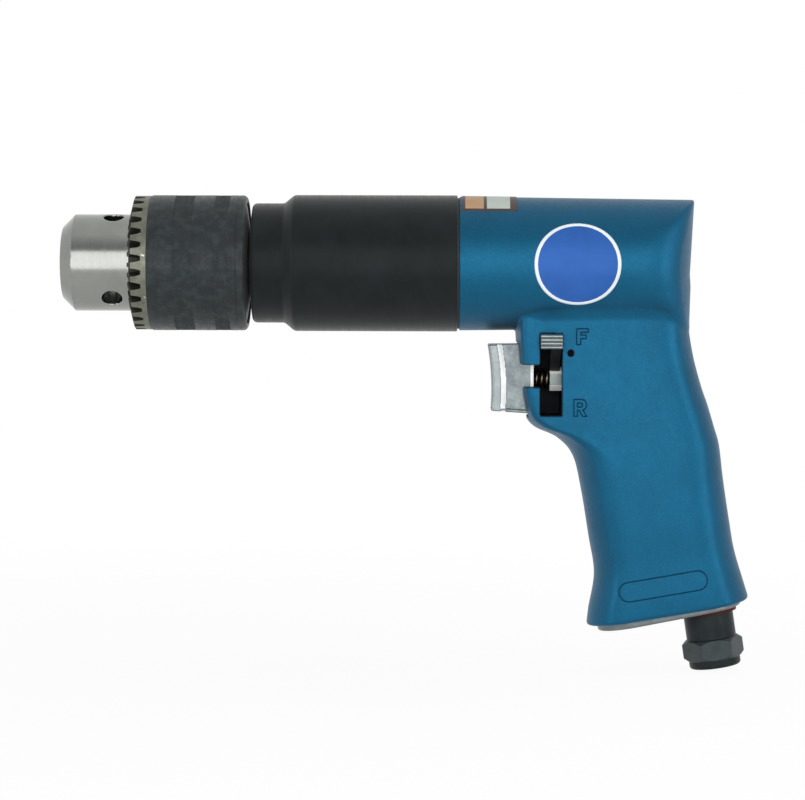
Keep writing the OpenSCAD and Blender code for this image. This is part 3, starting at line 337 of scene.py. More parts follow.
# Phenolic vanes with woven cloth in them
VANE_FIBRE = Finish("phenolic_vane_fibre", "#6b452c", 0.55, tint="#563622", blotch_mm=0.6,
                    grain_mm=(0.4, 0.4, 0.4), grain_height=0.015, gloss_spread=0.08)
# Wool felt of the muffler
FELT = Finish("grey_wool_felt", "#a29a8a", 0.95, tint="#8d8577", blotch_mm=0.8, grain_mm=(0.25, 0.25, 0.25),
              grain_height=0.1, sheen=0.3)
# Badge foil: brushed blue metal film, bare of print
BLUE_FOIL = Finish("brushed_blue_foil", "#2d5ca6", 0.45, 0.2, tint="#28559c", blotch_mm=10,
                   grain_mm=(3, 0.25, 0.25), grain_height=0.003, gloss_spread=0.05, gloss=0.15)
# White enamel rim of the badge
WHITE_ENAMEL = Finish("white_enamel", "#d9dfe2", 0.3, tint="#cfd6da", blotch_mm=6, coat=0.3)
# Printed film label in three inks
BROWN_INK = Finish("brown_label_film", "#3d2f2a", 0.45, tint="#46372f", blotch_mm=4, gloss=0.3)
ORANGE_INK = Finish("orange_label_film", "#a5835f", 0.45, tint="#ae8d6c", blotch_mm=4, gloss=0.3)
WHITE_INK = Finish("white_label_film", "#aab2ac", 0.45, tint="#b2bab4", blotch_mm=4, gloss=0.3)
# Marks in the paint: lines half sunk in the surface, dark blue as painted shade for engraved grooves
GROOVE_SHADE_LACQUER = Finish("painted_groove_shade_blue", "#0d3c55", 0.5, 0.6, tint="#0b344a", blotch_mm=4, gloss=0.1)

CAD_FINISHES: dict[Finish, tuple[str, ...]] = {
    BLACK_RUBBER: ("case_gasket", "dust_seal", "motor_gasket"),
    RED_RUBBER: ("inlet_seal",),
    BEARING_STEEL: tuple(f"{shaft}_{end}_bearing_{race}" for shaft in ("spindle", "rotor")
                         for end in ("front", "rear") for race in ("outer", "inner")),
    GEAR_STEEL: ("ring_gear", "spindle", "first_stage_carrier", "rotor", "chuck_nut",
                 *(f"{stage}_stage_planet_{k}" for stage in ("first", "second") for k in (1, 2, 3))),
    BRIGHT_STEEL: ("second_stage_pins", "first_stage_pins", "cylinder_pin", "bearing_spacer",
                   "bearing_retainer"),
    # Near black here is also painted shade for the pin in its hole
    DARK_STEEL: ("trigger_stem", "valve_pin", "chuck_screw"),
    CAST_ALLOY: ("front_end_plate", "rear_end_plate", "motor_cylinder"),
    BRONZE: ("reverse_valve", "valve_seat", "inlet_screen"),
    VANE_FIBRE: ("rotor_vanes",),
    FELT: ("muffler_felt",),
}


@dataclass
class Shape:
    """A mesh in millimetres: places, faces, and where known its normals and the finish of each face."""

    spots: Array
    faces: list
    normals: Optional[Array] = None
    patches: Optional[Array] = None
    sharp: float = 35.0


def show(name: str, shape: Shape, finishes: Sequence[Finish], body: Body, slot: Slot,
         *nodes: str) -> bpy.types.Object:
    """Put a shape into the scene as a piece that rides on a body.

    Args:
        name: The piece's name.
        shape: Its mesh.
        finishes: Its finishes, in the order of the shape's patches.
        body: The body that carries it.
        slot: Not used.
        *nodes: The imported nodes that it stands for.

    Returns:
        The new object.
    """
    mesh = bpy.data.meshes.new(name)
    mesh.from_pydata((shape.spots * MM).tolist(), [], shape.faces)
    mesh.validate()
    mesh.polygons.foreach_set("use_smooth", np.ones(len(mesh.polygons), bool))
    for finish in finishes:
        mesh.materials.append(finish.material())
    if shape.patches is not None:
        mesh.polygons.foreach_set("material_index", shape.patches.astype(np.int32))
    if shape.normals is not None:
        mesh.normals_split_custom_set_from_vertices(shape.normals.tolist())
    else:
        mesh.set_sharp_from_angle(angle=math.radians(shape.sharp))
    mesh.update()
    made = bpy.data.objects.new(name, mesh)
    bpy.context.scene.collection.objects.link(made)
    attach(made, body.value)
    if nodes:
        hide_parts(*nodes)
    LOG.info("%s: %d faces on %s", name, len(mesh.polygons), body.value)
    return made


def outward(spots: Array, quads: Array) -> list:
    """Turn a closed form's faces so that they point out.

    The signed volume is the sum over faces of the triple product of their corners, and a
    negative one means that the faces point in.

    Args:
        spots: Places of the vertices.
        quads: Rows of vertex numbers.

    Returns:
        The faces as lists.
    """
    a, b, c = (spots[quads[:, k]] for k in (0, 1, 2))
    d = spots[quads[:, -1]]
    volume = np.einsum("ij,ij->", a, np.cross(b, c) + np.cross(c, d))
    return (quads if volume > 0 else quads[:, ::-1]).tolist()


def lattice(rows: int, columns: int, close_rows: bool = True) -> Array:
    """Number the quads of a grid whose columns run round and close.

    Args:
        rows: Count of rows.
        columns: Count of columns.
        close_rows: Whether the last row joins the first.

    Returns:
        Rows of four vertex numbers.
    """
    i, j = np.meshgrid(np.arange(rows if close_rows else rows - 1), np.arange(columns), indexing="ij")
    below, beside = (i + 1) % rows, (j + 1) % columns
    return np.stack([i * columns + j, i * columns + beside, below * columns + beside,
                     below * columns + j], axis=-1).reshape(-1, 4)


def capped(spots: Array, rows: int, columns: int) -> list:
    """Face a tube of grid rows outwards, with a flat end on its first and its last row.

    Args:
        spots: Places of the vertices, row by row.
        rows: Count of rows.
        columns: Count of columns.

    Returns:
        The faces as lists, the two ends last.
    """
    faces = outward(spots, lattice(rows, columns, False))
    turn = 1 if faces[0][1] == 1 else -1
    start, end = list(range(columns)), list(range((rows - 1) * columns, rows * columns))
    return faces + [start[::-turn], end[::turn]]


def rounded(corners: Sequence[tuple[float, float, float]], steps: int = 5) -> Array:
    """Round the corners of a closed profile.

    Each corner gives way to a curve between two points at its radius along both edges: the
    blend (1-t)^2 of the first, 2t(1-t) of the corner and t^2 of the second.

    Args:
        corners: Along, out and radius of each corner.
        steps: Points on each curve.

    Returns:
        The profile's points, along and out.
    """
    spots = np.array([c[:2] for c in corners], float)
    reach = np.array([c[2] for c in corners], float)[:, None]
    back, ahead = np.roll(spots, 1, axis=0) - spots, np.roll(spots, -1, axis=0) - spots
    back /= np.linalg.norm(back, axis=1, keepdims=True)
    ahead /= np.linalg.norm(ahead, axis=1, keepdims=True)
    t = np.linspace(0, 1, steps)[None, :, None]
    first, second = (spots + back * reach)[:, None], (spots + ahead * reach)[:, None]
    return ((1 - t) ** 2 * first + 2 * t * (1 - t) * spots[:, None] + t ** 2 * second).reshape(-1, 2)


def turned(profile: Array, columns: int = 256) -> Shape:
    """Turn a closed profile about the spindle's axis.

    At angle a a point at (along, out) goes to x = along, y = -out sin a, z = out cos a.

    Args:
        profile: Points along and out, in millimetres.
        columns: Count of steps round the axis.

    Returns:
        The closed shape.
    """
    a = np.arange(columns) * 2 * math.pi / columns
    along, out = profile[:, :1], profile[:, 1:]
    spots = np.stack(np.broadcast_arrays(along, -out * np.sin(a), out * np.cos(a)), axis=-1).reshape(-1, 3)
    return Shape(spots, outward(spots, lattice(len(profile), columns)))


def tube(path: Array, radius: float, sides: int, closed: bool) -> Shape:
    """Carry a circle along a path.

    Each ring is path + radius (cos b u + sin b v), where u and v stand square to the path's own
    direction, u as near as can be to the Y axis or, on a path along Y, to X.

    Args:
        path: Points of the path.
        radius: Radius of the tube.
        sides: Points round the tube.
        closed: Whether the path comes back to its start.

    Returns:
        The shape, with flat ends where the path is open.
    """
    lead = np.roll(path, -1, axis=0) - np.roll(path, 1, axis=0)
    if not closed:
        lead[0], lead[-1] = path[1] - path[0], path[-1] - path[-2]
    lead /= np.linalg.norm(lead, axis=1, keepdims=True)
    u = np.cross(np.array([0.02, 1.0, 0.03]), lead)
    u /= np.linalg.norm(u, axis=1, keepdims=True)
    v = np.cross(lead, u)
    b = (np.arange(sides) * 2 * math.pi / sides)[None, :, None]
    spots = (path[:, None] + radius * (np.cos(b) * u[:, None] + np.sin(b) * v[:, None])).reshape(-1, 3)
    if closed:
        return Shape(spots, outward(spots, lattice(len(path), sides)))
    return Shape(spots, capped(spots, len(path), sides))


def rod(p: Array, start: Sequence[float], axis: Sequence[float], radius: float, length: float) -> Array:
    """Distance to a round bar from a start along a unit axis, less than nought inside."""
    way = np.asarray(axis, float)
    q = p - np.asarray(start, float)
    along = q @ way
    out = np.linalg.norm(q - along[:, None] * way, axis=1) - radius
    return np.maximum(out, np.maximum(-along, along - length))


def block(p: Array, low: Sequence[float], high: Sequence[float]) -> Array:
    """Distance to a block between two corners, less than nought inside."""
    low, high = np.asarray(low, float), np.asarray(high, float)
    q = np.abs(p - (low + high) / 2) - (high - low) / 2
    return np.linalg.norm(np.maximum(q, 0), axis=1) + np.minimum(q.max(axis=1), 0)


def meet(a: Array, b: Array, r: float | Array) -> Array:
    """Keep what is in both forms, with a rounded edge of radius r."""
    return np.minimum(-r, np.maximum(a, b)) + np.hypot(np.maximum(r + a, 0), np.maximum(r + b, 0))


def join(a: Array, b: Array, r: float | Array) -> Array:
    """Join two forms with a hollow fillet of radius r."""
    return np.maximum(r, np.minimum(a, b)) - np.hypot(np.maximum(r - a, 0), np.maximum(r - b, 0))


def cut(a: Array, b: Array, r: float) -> Array:
    """Take the second form out of the first, with a rounded edge of radius r."""
    return meet(a, -b, r)


def lathe(p: Array, profile: Sequence[tuple[float, float]]) -> Array:
    """Distance to a form turned about the spindle's axis.

    The distance to the nearest edge of the profile in the plane of x and distance from the
    axis, with its sign from the count of edges that a line from the point crosses.

    Args:
        p: Points.
        profile: Corners along and out.

    Returns:
        The distances.
    """
    x, out = p[:, 0], np.hypot(p[:, 1], p[:, 2])
    best = np.full(len(p), np.inf)
    inside = np.zeros(len(p), bool)
    for (x0, r0), (x1, r1) in zip(profile, list(profile[1:]) + [profile[0]]):
        dx, dr = x1 - x0, r1 - r0
        t = np.clip(((x - x0) * dx + (out - r0) * dr) / (dx * dx + dr * dr), 0, 1)
        best = np.minimum(best, np.hypot(x - x0 - t * dx, out - r0 - t * dr))
        if dr:
            inside ^= ((r0 <= out) != (r1 <= out)) & (x < x0 + dx * (out - r0) / dr)
    return np.where(inside, -best, best)


def slope(form: Field, p: Array, step: float) -> Array:
    """The direction and rate in which a field grows, by differences over a small step."""
    shift = np.eye(3) * step
    return np.stack([form(p + s) - form(p - s) for s in shift], axis=1) / (2 * step)


def skin(form: Field, low: Sequence[float], high: Sequence[float], pitch: float) -> Shape:
    """Wrap a closed mesh round the places where a field is nought.

    Each cell of a grid that the surface crosses gets one vertex, at the mean of the crossings on
    its edges, and each grid edge that the surface crosses gets a quad between the four cells round
    it. The vertices then slide down the field's slope onto the surface, and are evened out.

    Args:
        form: The field in millimetres, less than nought inside.
        low: Lowest corner of the piece.
        high: Highest corner of the piece.
        pitch: Size of a cell.

    Returns:
        The shape, with normals from the field's slope.
    """
    axes = [np.arange(a - 1.37 * pitch, b + 2.4 * pitch, pitch) for a, b in zip(low, high)]
    grid = np.stack(np.meshgrid(*axes, indexing="ij"), axis=-1)
    value = sampled(form, axes, grid, pitch)
    cells = tuple(n - 1 for n in value.shape)
    total, count = np.zeros(cells + (3,)), np.zeros(cells)
    crossings = []
    for axis in range(3):
        near, far = [slice(None)] * 3, [slice(None)] * 3
        near[axis], far[axis] = slice(None, -1), slice(1, None)
        a, b = value[tuple(near)], value[tuple(far)]
        cross = (a < 0) != (b < 0)
        spot = grid[tuple(near)].copy()
        spot[..., axis] += pitch * np.where(cross, a / np.where(cross, a - b, 1), 0)
        spot *= cross[..., None]
        u, w = (axis + 1) % 3, (axis + 2) % 3
        for du in (0, 1):
            for dw in (0, 1):
                pick = [slice(None)] * 3
                pick[u], pick[w] = slice(du, du + cells[u]), slice(dw, dw + cells[w])
                total += spot[tuple(pick)]
                count += cross[tuple(pick)]
        crossings.append((cross, a < 0))
    mixed = count > 0
    number = np.full(cells, -1)
    number[mixed] = np.arange(mixed.sum())
    spots = total[mixed] / count[mixed][:, None]
    quads = []
    for axis, (cross, leaving) in enumerate(crossings):
        u, w = (axis + 1) % 3, (axis + 2) % 3
        hit = np.argwhere(cross)
        corners = []
        for du, dw in ((-1, -1), (0, -1), (0, 0), (-1, 0)):
            at = hit.copy()
            at[:, u] += du
            at[:, w] += dw
            corners.append(number[tuple(at.T)])
        face = np.stack(corners, axis=1)
        out = leaving[tuple(hit.T)]
        quads.append(np.where(out[:, None], face, face[:, ::-1]))
    faces = np.concatenate(quads)
    spots = settle(form, spots, pitch)
    for _ in range(2):
        spots = settle(form, evened(spots, faces), pitch)
    normals = slope(form, spots, 0.2 * pitch)
    normals /= np.maximum(np.linalg.norm(normals, axis=1, keepdims=True), 1e-9)
    return Shape(spots, faces.tolist(), normals)


def sampled(form: Field, axes: Sequence[Array], grid: Array, pitch: float) -> Array:
    """Read a field on a grid, in full only near its surface.

    The field is read at the middles of blocks of cells. Where it is further from nought than a
    block is wide, the whole block takes that value, and elsewhere each point is read.

    Args:
        form: The field.
        axes: The grid's steps on each axis.
        grid: The grid's points.
        pitch: Size of a cell.

    Returns:
        The values on the grid.
    """
    size = 6
    middles = [axis[::size] + (size - 1) / 2 * pitch for axis in axes]
    coarse = np.stack(np.meshgrid(*middles, indexing="ij"), axis=-1)
    rough = form(coarse.reshape(-1, 3)).reshape(coarse.shape[:3])
    for k, axis in enumerate(axes):
        rough = np.repeat(rough, size, axis=k).take(np.arange(len(axis)), axis=k)
    near = np.abs(rough) < 1.4 * size * pitch
    rough[near] = np.concatenate([form(part) for part in np.array_split(grid[near], 24)])
    return rough


def settle(form: Field, spots: Array, pitch: float) -> Array:
    """Slide points down a field's slope onto its surface, at most a fraction of a cell a step."""
    for _ in range(3):
        way = slope(form, spots, 0.05 * pitch)
        rate = np.maximum((way ** 2).sum(axis=1), 0.05)
        step = way * (form(spots) / rate)[:, None]
        size = np.linalg.norm(step, axis=1, keepdims=True)
        spots = spots - step * np.minimum(1, 0.6 * pitch / np.maximum(size, 1e-9))
    return spots


def evened(spots: Array, faces: Array) -> Array:
    """Move each vertex half way to the mean of its neighbours along the quads' edges."""
    ends = np.concatenate([faces[:, [k, (k + 1) % 4]] for k in range(4)])
    total = np.stack([np.bincount(ends[:, 0], spots[ends[:, 1], k], len(spots)) for k in range(3)], axis=1)
    count = np.bincount(ends[:, 0], minlength=len(spots))[:, None]
    return 0.5 * spots + 0.5 * total / np.maximum(count, 1)


def wrapped(form: Field, node: str, pitch: float) -> Shape:
    """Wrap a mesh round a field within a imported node's box."""
    low, high = (np.array(corner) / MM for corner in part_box(node))
    return skin(form, low, high, pitch)


def middles(shape: Shape) -> Array:
    """The middle of each face of a shape made of quads."""
    return shape.spots[np.array(shape.faces)].mean(axis=1)


@dataclass
class Casting:
    """The painted housing: a tapering barrel, a lofted grip, and the openings milled into them."""

    front: float = 126.0
    back: float = 200.6
    front_r: float = 21.3
    taper: float = 0.9
    back_round: float = 30.0
    back_lean: float = 3.0
    grip_x: float = 144.9
    grip_reach: float = 74.0
    grip_drop: float = 115.5
    grip_half: float = 15.5
    toe: tuple[float, float] = (167.1, -115.5)
    heel: tuple[float, float] = (218.9, -106.49)
    inlet_share: float = 0.744
    vent_share: float = 0.40
    bow: float = 0.05
    fillet: float = 1.4
    front_edge: float = 1.6
    back_edge: float = 3.0
    sole_edge: float = 1.2
    top_edge: float = 8.0
    cut_edge: float = 0.35
    pitch: float = 0.6
    # Trigger pocket, lever slot and the way for the trigger's leg, as lowest and highest corners
    milled: tuple = (
        ((128.7, -7.3, -48.2), (158.5, 7.3, -25.0)), ((151.6, -31.0, -47.8), (158.5, 0.0, -22.06)),
        ((128.7, -31.0, -38.8), (152.6, 0.0, -31.8)))
    # Motor bore, seat of the case, valve bore and pin hole, as start, direction, radius and length
    drilled: tuple = (
        ((125.0, 0, 0), (1, 0, 0), 18.2, 61.5), ((125.0, 0, 0), (1, 0, 0), 19.5, 7.8),
        ((157.5, 0, STEM_Z), (1, 0, 0), 8.4, 38.1), ((161.2, -31.0, -27.96), (0, 1, 0), 1.02, 40.0))
    # Radius and length of the inlet's seat, the air way above it and the vent
    inlet_seat: tuple[float, float] = (7.92, 13.0)
    air_way: tuple[float, float] = (4.2, 74.0)
    vent: tuple[float, float] = (6.5, 39.0)
    # Stations of the grip from the sole up: front drop and reach, back drop and reach, half width, and
    # the bows of front and back, as shares of drop, reach and half width
    shares: tuple = (
        (1.000, 0.300, 0.922, 1.000, 1.00, 0.80, 0.96), (0.950, 0.309, 0.869, 0.974, 1.00, 0.75, 0.95),
        (0.853, 0.332, 0.788, 0.936, 0.98, 0.68, 0.92), (0.749, 0.307, 0.710, 0.914, 0.98, 0.66, 0.87),
        (0.619, 0.273, 0.594, 0.886, 0.97, 0.61, 0.77), (0.528, 0.237, 0.498, 0.867, 0.95, 0.52, 0.68),
        (0.478, 0.168, 0.450, 0.846, 0.93, 0.38, 0.64), (0.447, 0.068, 0.390, 0.818, 0.92, 0.26, 0.61),
        (0.407, 0.027, 0.339, 0.790, 0.91, 0.17, 0.58), (0.312, 0.004, 0.258, 0.755, 0.90, 0.13, 0.54),
        (0.190, -0.012, 0.173, 0.732, 0.90, 0.13, 0.49), (0.137, -0.013, 0.130, 0.730, 0.90, 0.13, 0.46),
        (0.069, -0.013, 0.069, 0.730, 0.90, 0.13, 0.44), (0.000, -0.013, 0.000, 0.730, 0.90, 0.13, 0.44),
    )

    def __post_init__(self) -> None:
        """Work out the stations of the grip on a fine table, by a smooth curve through the shares."""
        rows = np.array(self.shares)
        last = len(rows) - 1
        self.steps = np.linspace(0, last, 160 * last + 1)
        k = np.minimum(self.steps.astype(int), last - 1)
        u = (self.steps - k)[:, None]
        a, b, c, d = (rows[np.clip(k + s, 0, last)] for s in (-1, 0, 1, 2))
        t = 0.5 * (2 * b + (c - a) * u + (2 * a - 5 * b + 4 * c - d) * u ** 2
                   + (3 * b - a - 3 * c + d) * u ** 3)
        self.table = np.stack([
            self.grip_x + t[:, 1] * self.grip_reach, -t[:, 0] * self.grip_drop,
            self.grip_x + t[:, 3] * self.grip_reach, -t[:, 2] * self.grip_drop,
            t[:, 4] * self.grip_half, t[:, 5] * self.grip_half, t[:, 6] * self.grip_half], axis=1)
        self.middle = (self.table[:, 1] + self.table[:, 3]) / 2
        self.rate = np.gradient(self.middle, self.steps)

    def sole(self, share: float) -> Array:
        """A place on the sole, by its share from toe to heel."""
        toe, heel = np.array(self.toe), np.array(self.heel)
        x, z = toe + share * (heel - toe)
        return np.array([x, 0.0, z])

    def sole_axes(self) -> tuple[Array, Array]:
        """Directions along the sole to the heel and square out of the sole."""
        run = self.sole(1) - self.sole(0)
        run /= np.linalg.norm(run)
        return run, np.array([run[2], 0.0, -run[0]])

    def sole_length(self) -> float:
        """Length of the sole from toe to heel."""
        return math.dist(self.toe, self.heel)

    def barrel_r(self, x: Array) -> Array:
        """Radius of the barrel at x."""
        return self.front_r - self.taper * (x - self.front) / (self.back - self.front)

    def barrel(self, p: Array) -> Array:
        """Distance to the barrel: a cone with a leaning, rounded back, its edge softer at the sides."""
        x, y, z = p.T
        lean = math.radians(self.back_lean)
        top = self.front_r - self.taper
        behind = (x - self.back) * math.cos(lean) - (z - top) * math.sin(lean) + self.back_round
        end = np.hypot(np.maximum(behind, 0), y) - self.back_round
        side = meet(np.hypot(y, z) - self.barrel_r(x), self.front - x, 0.5)
        soft = 0.7 + 4.6 * np.clip(1.25 - (z / 17) ** 2, 0, 1)
        return meet(side, end, soft)

    def grip(self, p: Array) -> Array:
        """Distance to the grip.

        The station whose line from front to back passes through the point is found by Newton
        steps. There the section is what lies between two sides that bow out a little, a front arc and
        a back arc, each arc through its end point and the sides at its bow's depth.

        Args:
            p: Points.

        Returns:
            The distances.
        """
        x, y, z = p.T
        t = np.interp(z, self.middle, self.steps)
        for _ in range(4):
            fx, fz, bx, bz = (np.interp(t, self.steps, self.table[:, k]) for k in range(4))
            run = np.hypot(bx - fx, bz - fz)
            lift = ((bx - fx) * (z - fz) - (bz - fz) * (x - fx)) / run
            t = np.clip(t + lift / np.interp(t, self.steps, self.rate), 0, self.steps[-1])
        fx, fz, bx, bz, half, front, back = (np.interp(t, self.steps, self.table[:, k]) for k in range(7))
        run = np.hypot(bx - fx, bz - fz)
        along = ((bx - fx) * (x - fx) + (bz - fz) * (z - fz)) / run
        front_r = (half ** 2 + front ** 2) / (2 * front)
        back = np.minimum(back, half)
        back_r = (half ** 2 + back ** 2) / (2 * back)
        nose = np.hypot(np.minimum(along - front_r, 0), y) - front_r
        tail = np.hypot(np.minimum(run - along - back_r, 0), y) - back_r
        flank = np.abs(y) - half * (1 - self.bow * np.minimum((2 * along / run - 1) ** 2, 1))
        section = meet(meet(flank, nose, self.front_edge), tail, self.back_edge)
        _, down = self.sole_axes()
        return meet(meet(section, (p - self.sole(0)) @ down, self.sole_edge), z, self.top_edge)

    def openings(self, p: Array) -> Array:
        """Distance to what is cut out: motor bore, trigger pocket, lever slot, valve bore and air ways."""
        _, down = self.sole_axes()
        neck = self.sole(self.inlet_share)
        found = [block(p, *corners) for corners in self.milled] + [rod(p, *bar) for bar in self.drilled]
        found.append(rod(p, neck + INLET_WAY, -INLET_WAY, *self.inlet_seat))
        found.append(rod(p, neck, -INLET_WAY, *self.air_way))
        found.append(rod(p, self.sole(self.vent_share) + down, -down, *self.vent))
        return np.minimum.reduce(found)

    def outside(self, p: Array) -> Array:
        """Distance to the casting before its openings are milled."""
        r = 0.6 + self.fillet * np.clip((p[:, 0] - self.grip_x - 3) / 5, 0, 1)
        return join(self.barrel(p), self.grip(p), r)

    def form(self, p: Array) -> Array:
        """Distance to the finished casting."""
        return cut(self.outside(p), self.openings(p), self.cut_edge)

    def build(self) -> None:
        """Make the painted casting."""
        pitch = self.pitch
        low, high = (self.front, -self.front_r, -115.6), (219.0, self.front_r, self.front_r)
        shape = skin(self.form, low, high, pitch)
        # Faces inside the openings take the near black painted shade
        shape.patches = np.where(self.outside(middles(shape)) < -0.4, 1, 0)
        show("housing_casting", shape, [BLUE_LACQUER, SHADED_CAVITY_WALL], Body.HOUSING, Slot.BLUE_PAINT, "housing")

    def lay(self, x: Array, z: Array) -> Array:
        """Find the places on the near side of the casting at given x and z.

        Args:
            x: Distances along the spindle.
            z: Heights.

        Returns:
            The points, moved along Y until the outside's field is nought.
        """
        p = np.stack([x, np.full(len(x), -self.grip_half), z], axis=1)
        for _ in range(6):
            step = np.array([0.0, 0.05, 0.0])
            rate = (self.outside(p + step) - self.outside(p - step)) / 0.1
            p[:, 1] -= self.outside(p) / np.where(np.abs(rate) < 0.2, -1, rate)
        return p


@dataclass
class Markings:
    """Direction letters and an empty oval on the grip, and the bare badge and label on the barrel."""

    casting: Casting
    badge_x: float = 163.0
    label_z: float = 16.6
    line_r: float = 0.22

    def stroke(self, name: str, corners: Array) -> None:
        """Draw a closed line on the near side of the grip.

        Args:
            name: The piece's name.
            corners: Corners of the line, as x and z.
        """
        ahead = np.roll(corners, -1, axis=0)
        t = np.linspace(0, 1, 9)[:-1][None, :, None]
        flat = (corners[:, None] * (1 - t) + ahead[:, None] * t).reshape(-1, 2)
        path = self.casting.lay(flat[:, 0], flat[:, 1])
        # The lines are dark as painted shade for engraved grooves
        show(name, tube(path, self.line_r, 8, True), [GROOVE_SHADE_LACQUER], Body.HOUSING, Slot.BLUE_PAINT)

    def letters(self) -> None:
        """Outline the two direction letters beside the lever's slot."""
        forward = np.array([(0, 0), (1.2, 0), (1.2, 2.0), (2.8, 2.0), (2.8, 3.2), (1.2, 3.2), (1.2, 4.1),
                            (3.4, 4.1), (3.4, 5.3), (0, 5.3)], float)
        bowl = np.radians(np.linspace(-90, 90, 9))
        round_out = np.stack([2.9 + 1.7 * np.cos(bowl), 3.95 + 1.85 * np.sin(bowl)], axis=1)
        round_in = np.stack([2.5 + 0.6 * np.cos(bowl), 3.9 + 0.7 * np.sin(bowl)], axis=1)
        reverse = np.concatenate([[(0, 0), (1.3, 0), (1.3, 2.1), (1.9, 2.1), (3.2, 0), (4.7, 0), (3.3, 2.2)],
                                  round_out, [(0, 5.8)]])
        self.stroke("forward_letter", forward * (1.08, 0.94) + (163.0, -25.25))
        self.stroke("reverse_letter", reverse * (0.87, 0.92) + (162.25, -47.85))
        eye = np.concatenate([[(1.3, 3.2)], round_in, [(1.3, 4.6)]])
        self.stroke("reverse_letter_eye", eye * (0.87, 0.92) + (162.25, -47.85))

    def oval(self) -> None:
        """Outline the empty field above the sole, with two straight sides and round ends."""
        end = np.linspace(-math.pi / 2, math.pi / 2, 15)
        u = np.concatenate([11.0 + 3.07 * np.cos(end), -11.0 - 3.07 * np.cos(end)])
        v = np.concatenate([3.07 * np.sin(end), -3.07 * np.sin(end)])
        tilt = math.radians(10)
        self.stroke("empty_oval", np.stack([190.7 + u * math.cos(tilt) - v * math.sin(tilt),
                                            -101.4 + u * math.sin(tilt) + v * math.cos(tilt)], axis=1))

    def badge(self) -> None:
        """Make the round badge: polar rings wrapped on the barrel, a flat field with a rolled rim."""
        out = np.array([0.02, 2, 4, 6, 8, 10, 11, 12, 12.45, 12.5, 12.65, 13.0, 13.35, 13.55, 13.55])
        lift = np.array([.3, .3, .3, .3, .3, .3, .3, .3, .3, .34, .38, .4, .34, .2, .02])
        a = np.arange(160) * 2 * math.pi / 160
        x = self.badge_x + out[:, None] * np.cos(a)
        r = self.casting.barrel_r(x)
        turn = out[:, None] * np.sin(a) / r
        face, under = (np.stack([x, -(r + h) * np.cos(turn), (r + h) * np.sin(turn)], axis=-1)
                       for h in (lift[:, None], 0))
        spots = np.concatenate([face, under[::-1]]).reshape(-1, 3)
        faces = capped(spots, 2 * len(out), len(a))
        ring = np.arange(len(faces) - 2) // len(a)
        patches = np.concatenate([np.where(ring < 8, 0, 1), [0, 1]])
        show("side_badge_bare", Shape(spots, faces, patches=patches, sharp=60), [BLUE_FOIL, WHITE_ENAMEL],
             Body.HOUSING, Slot.BADGE, "side_badge")

    def label(self) -> None:
        """Make the film over the top of the barrel, with bare fields of three inks."""
        along = np.array([126.9, 126.95, 127.9, 133.7, 134.7, 142.0, 144.1, 144.15])
        lift = np.array([0.02, 0.2, 0.2, 0.2, 0.2, 0.2, 0.2, 0.02])
        reach = np.arccos(self.label_z / self.casting.barrel_r(along))[:, None]
        hem = np.linspace(0.93, 1, 3)
        share = np.concatenate([-hem[::-1], np.linspace(-0.9, 0.9, 60), hem])
        a = reach * share
        edge = np.where(np.abs(share) > 0.999, 0.02, 1.0)
        r = self.casting.barrel_r(along)[:, None] + lift[:, None] * edge
        x = np.broadcast_to(along[:, None], a.shape)
        top = np.stack([x, -r * np.sin(a), r * np.cos(a)], axis=-1)
        low_r = self.casting.barrel_r(along)[:, None]
        low = np.stack([x, -low_r * np.sin(a), low_r * np.cos(a)], axis=-1)
        rows, columns = a.shape
        loop = np.concatenate([top, low[:, ::-1]], axis=1)
        spots = loop.reshape(-1, 3)
        quads = lattice(rows, 2 * columns, False)
        faces = outward(spots, quads)
        i, j = np.arange(len(quads)) // (2 * columns), np.arange(len(quads)) % (2 * columns)
        inner = (j < columns) & (np.abs(share[np.minimum(j, columns - 1)]) < 0.92)
        patches = np.where(inner & (i == 2), 1, np.where(inner & (i == 4), 2, 0))
        turn = 1 if faces[0][1] == 1 else -1
        ends = [[k, k + 1, 2 * columns - 2 - k, 2 * columns - 1 - k] for k in range(columns - 1)]
        start = [face[::-turn] for face in ends]
        finish = [[n + (rows - 1) * 2 * columns for n in face][::turn] for face in ends]
        patches = np.concatenate([patches, np.zeros(2 * len(ends))])
        show("top_label_bare", Shape(spots, faces + start + finish, patches=patches),
             [BROWN_INK, ORANGE_INK, WHITE_INK], Body.HOUSING, Slot.LABEL, "top_label")

    def build(self) -> None:
        """Make every mark."""
        self.letters()
        self.oval()
        self.badge()
        self.label()


@dataclass
class GearCase:
    """The black gear case, turned from one profile with rounded edges."""

    corners: tuple = (
        (60.4, 11.92, 0.15), (60.4, 19.0, 1.5), (70.5, 19.0, 0.7), (73.7, 21.65, 0.7), (125.5, 21.65, 0.5),
        (125.5, 19.4, 0.1), (132.5, 19.4, 0.3), (132.5, 18.2, 0.2), (83.8, 18.2, 0.1), (83.8, 16.02, 0.1),
        (63.0, 16.02, 0.1), (63.0, 11.92, 0.1))

    def build(self) -> None:
        """Make the case."""
        show("gear_case_turned", turned(rounded(self.corners)), [BLACK_OXIDE], Body.HOUSING, Slot.BLACK_STEEL,
             "gear_case")


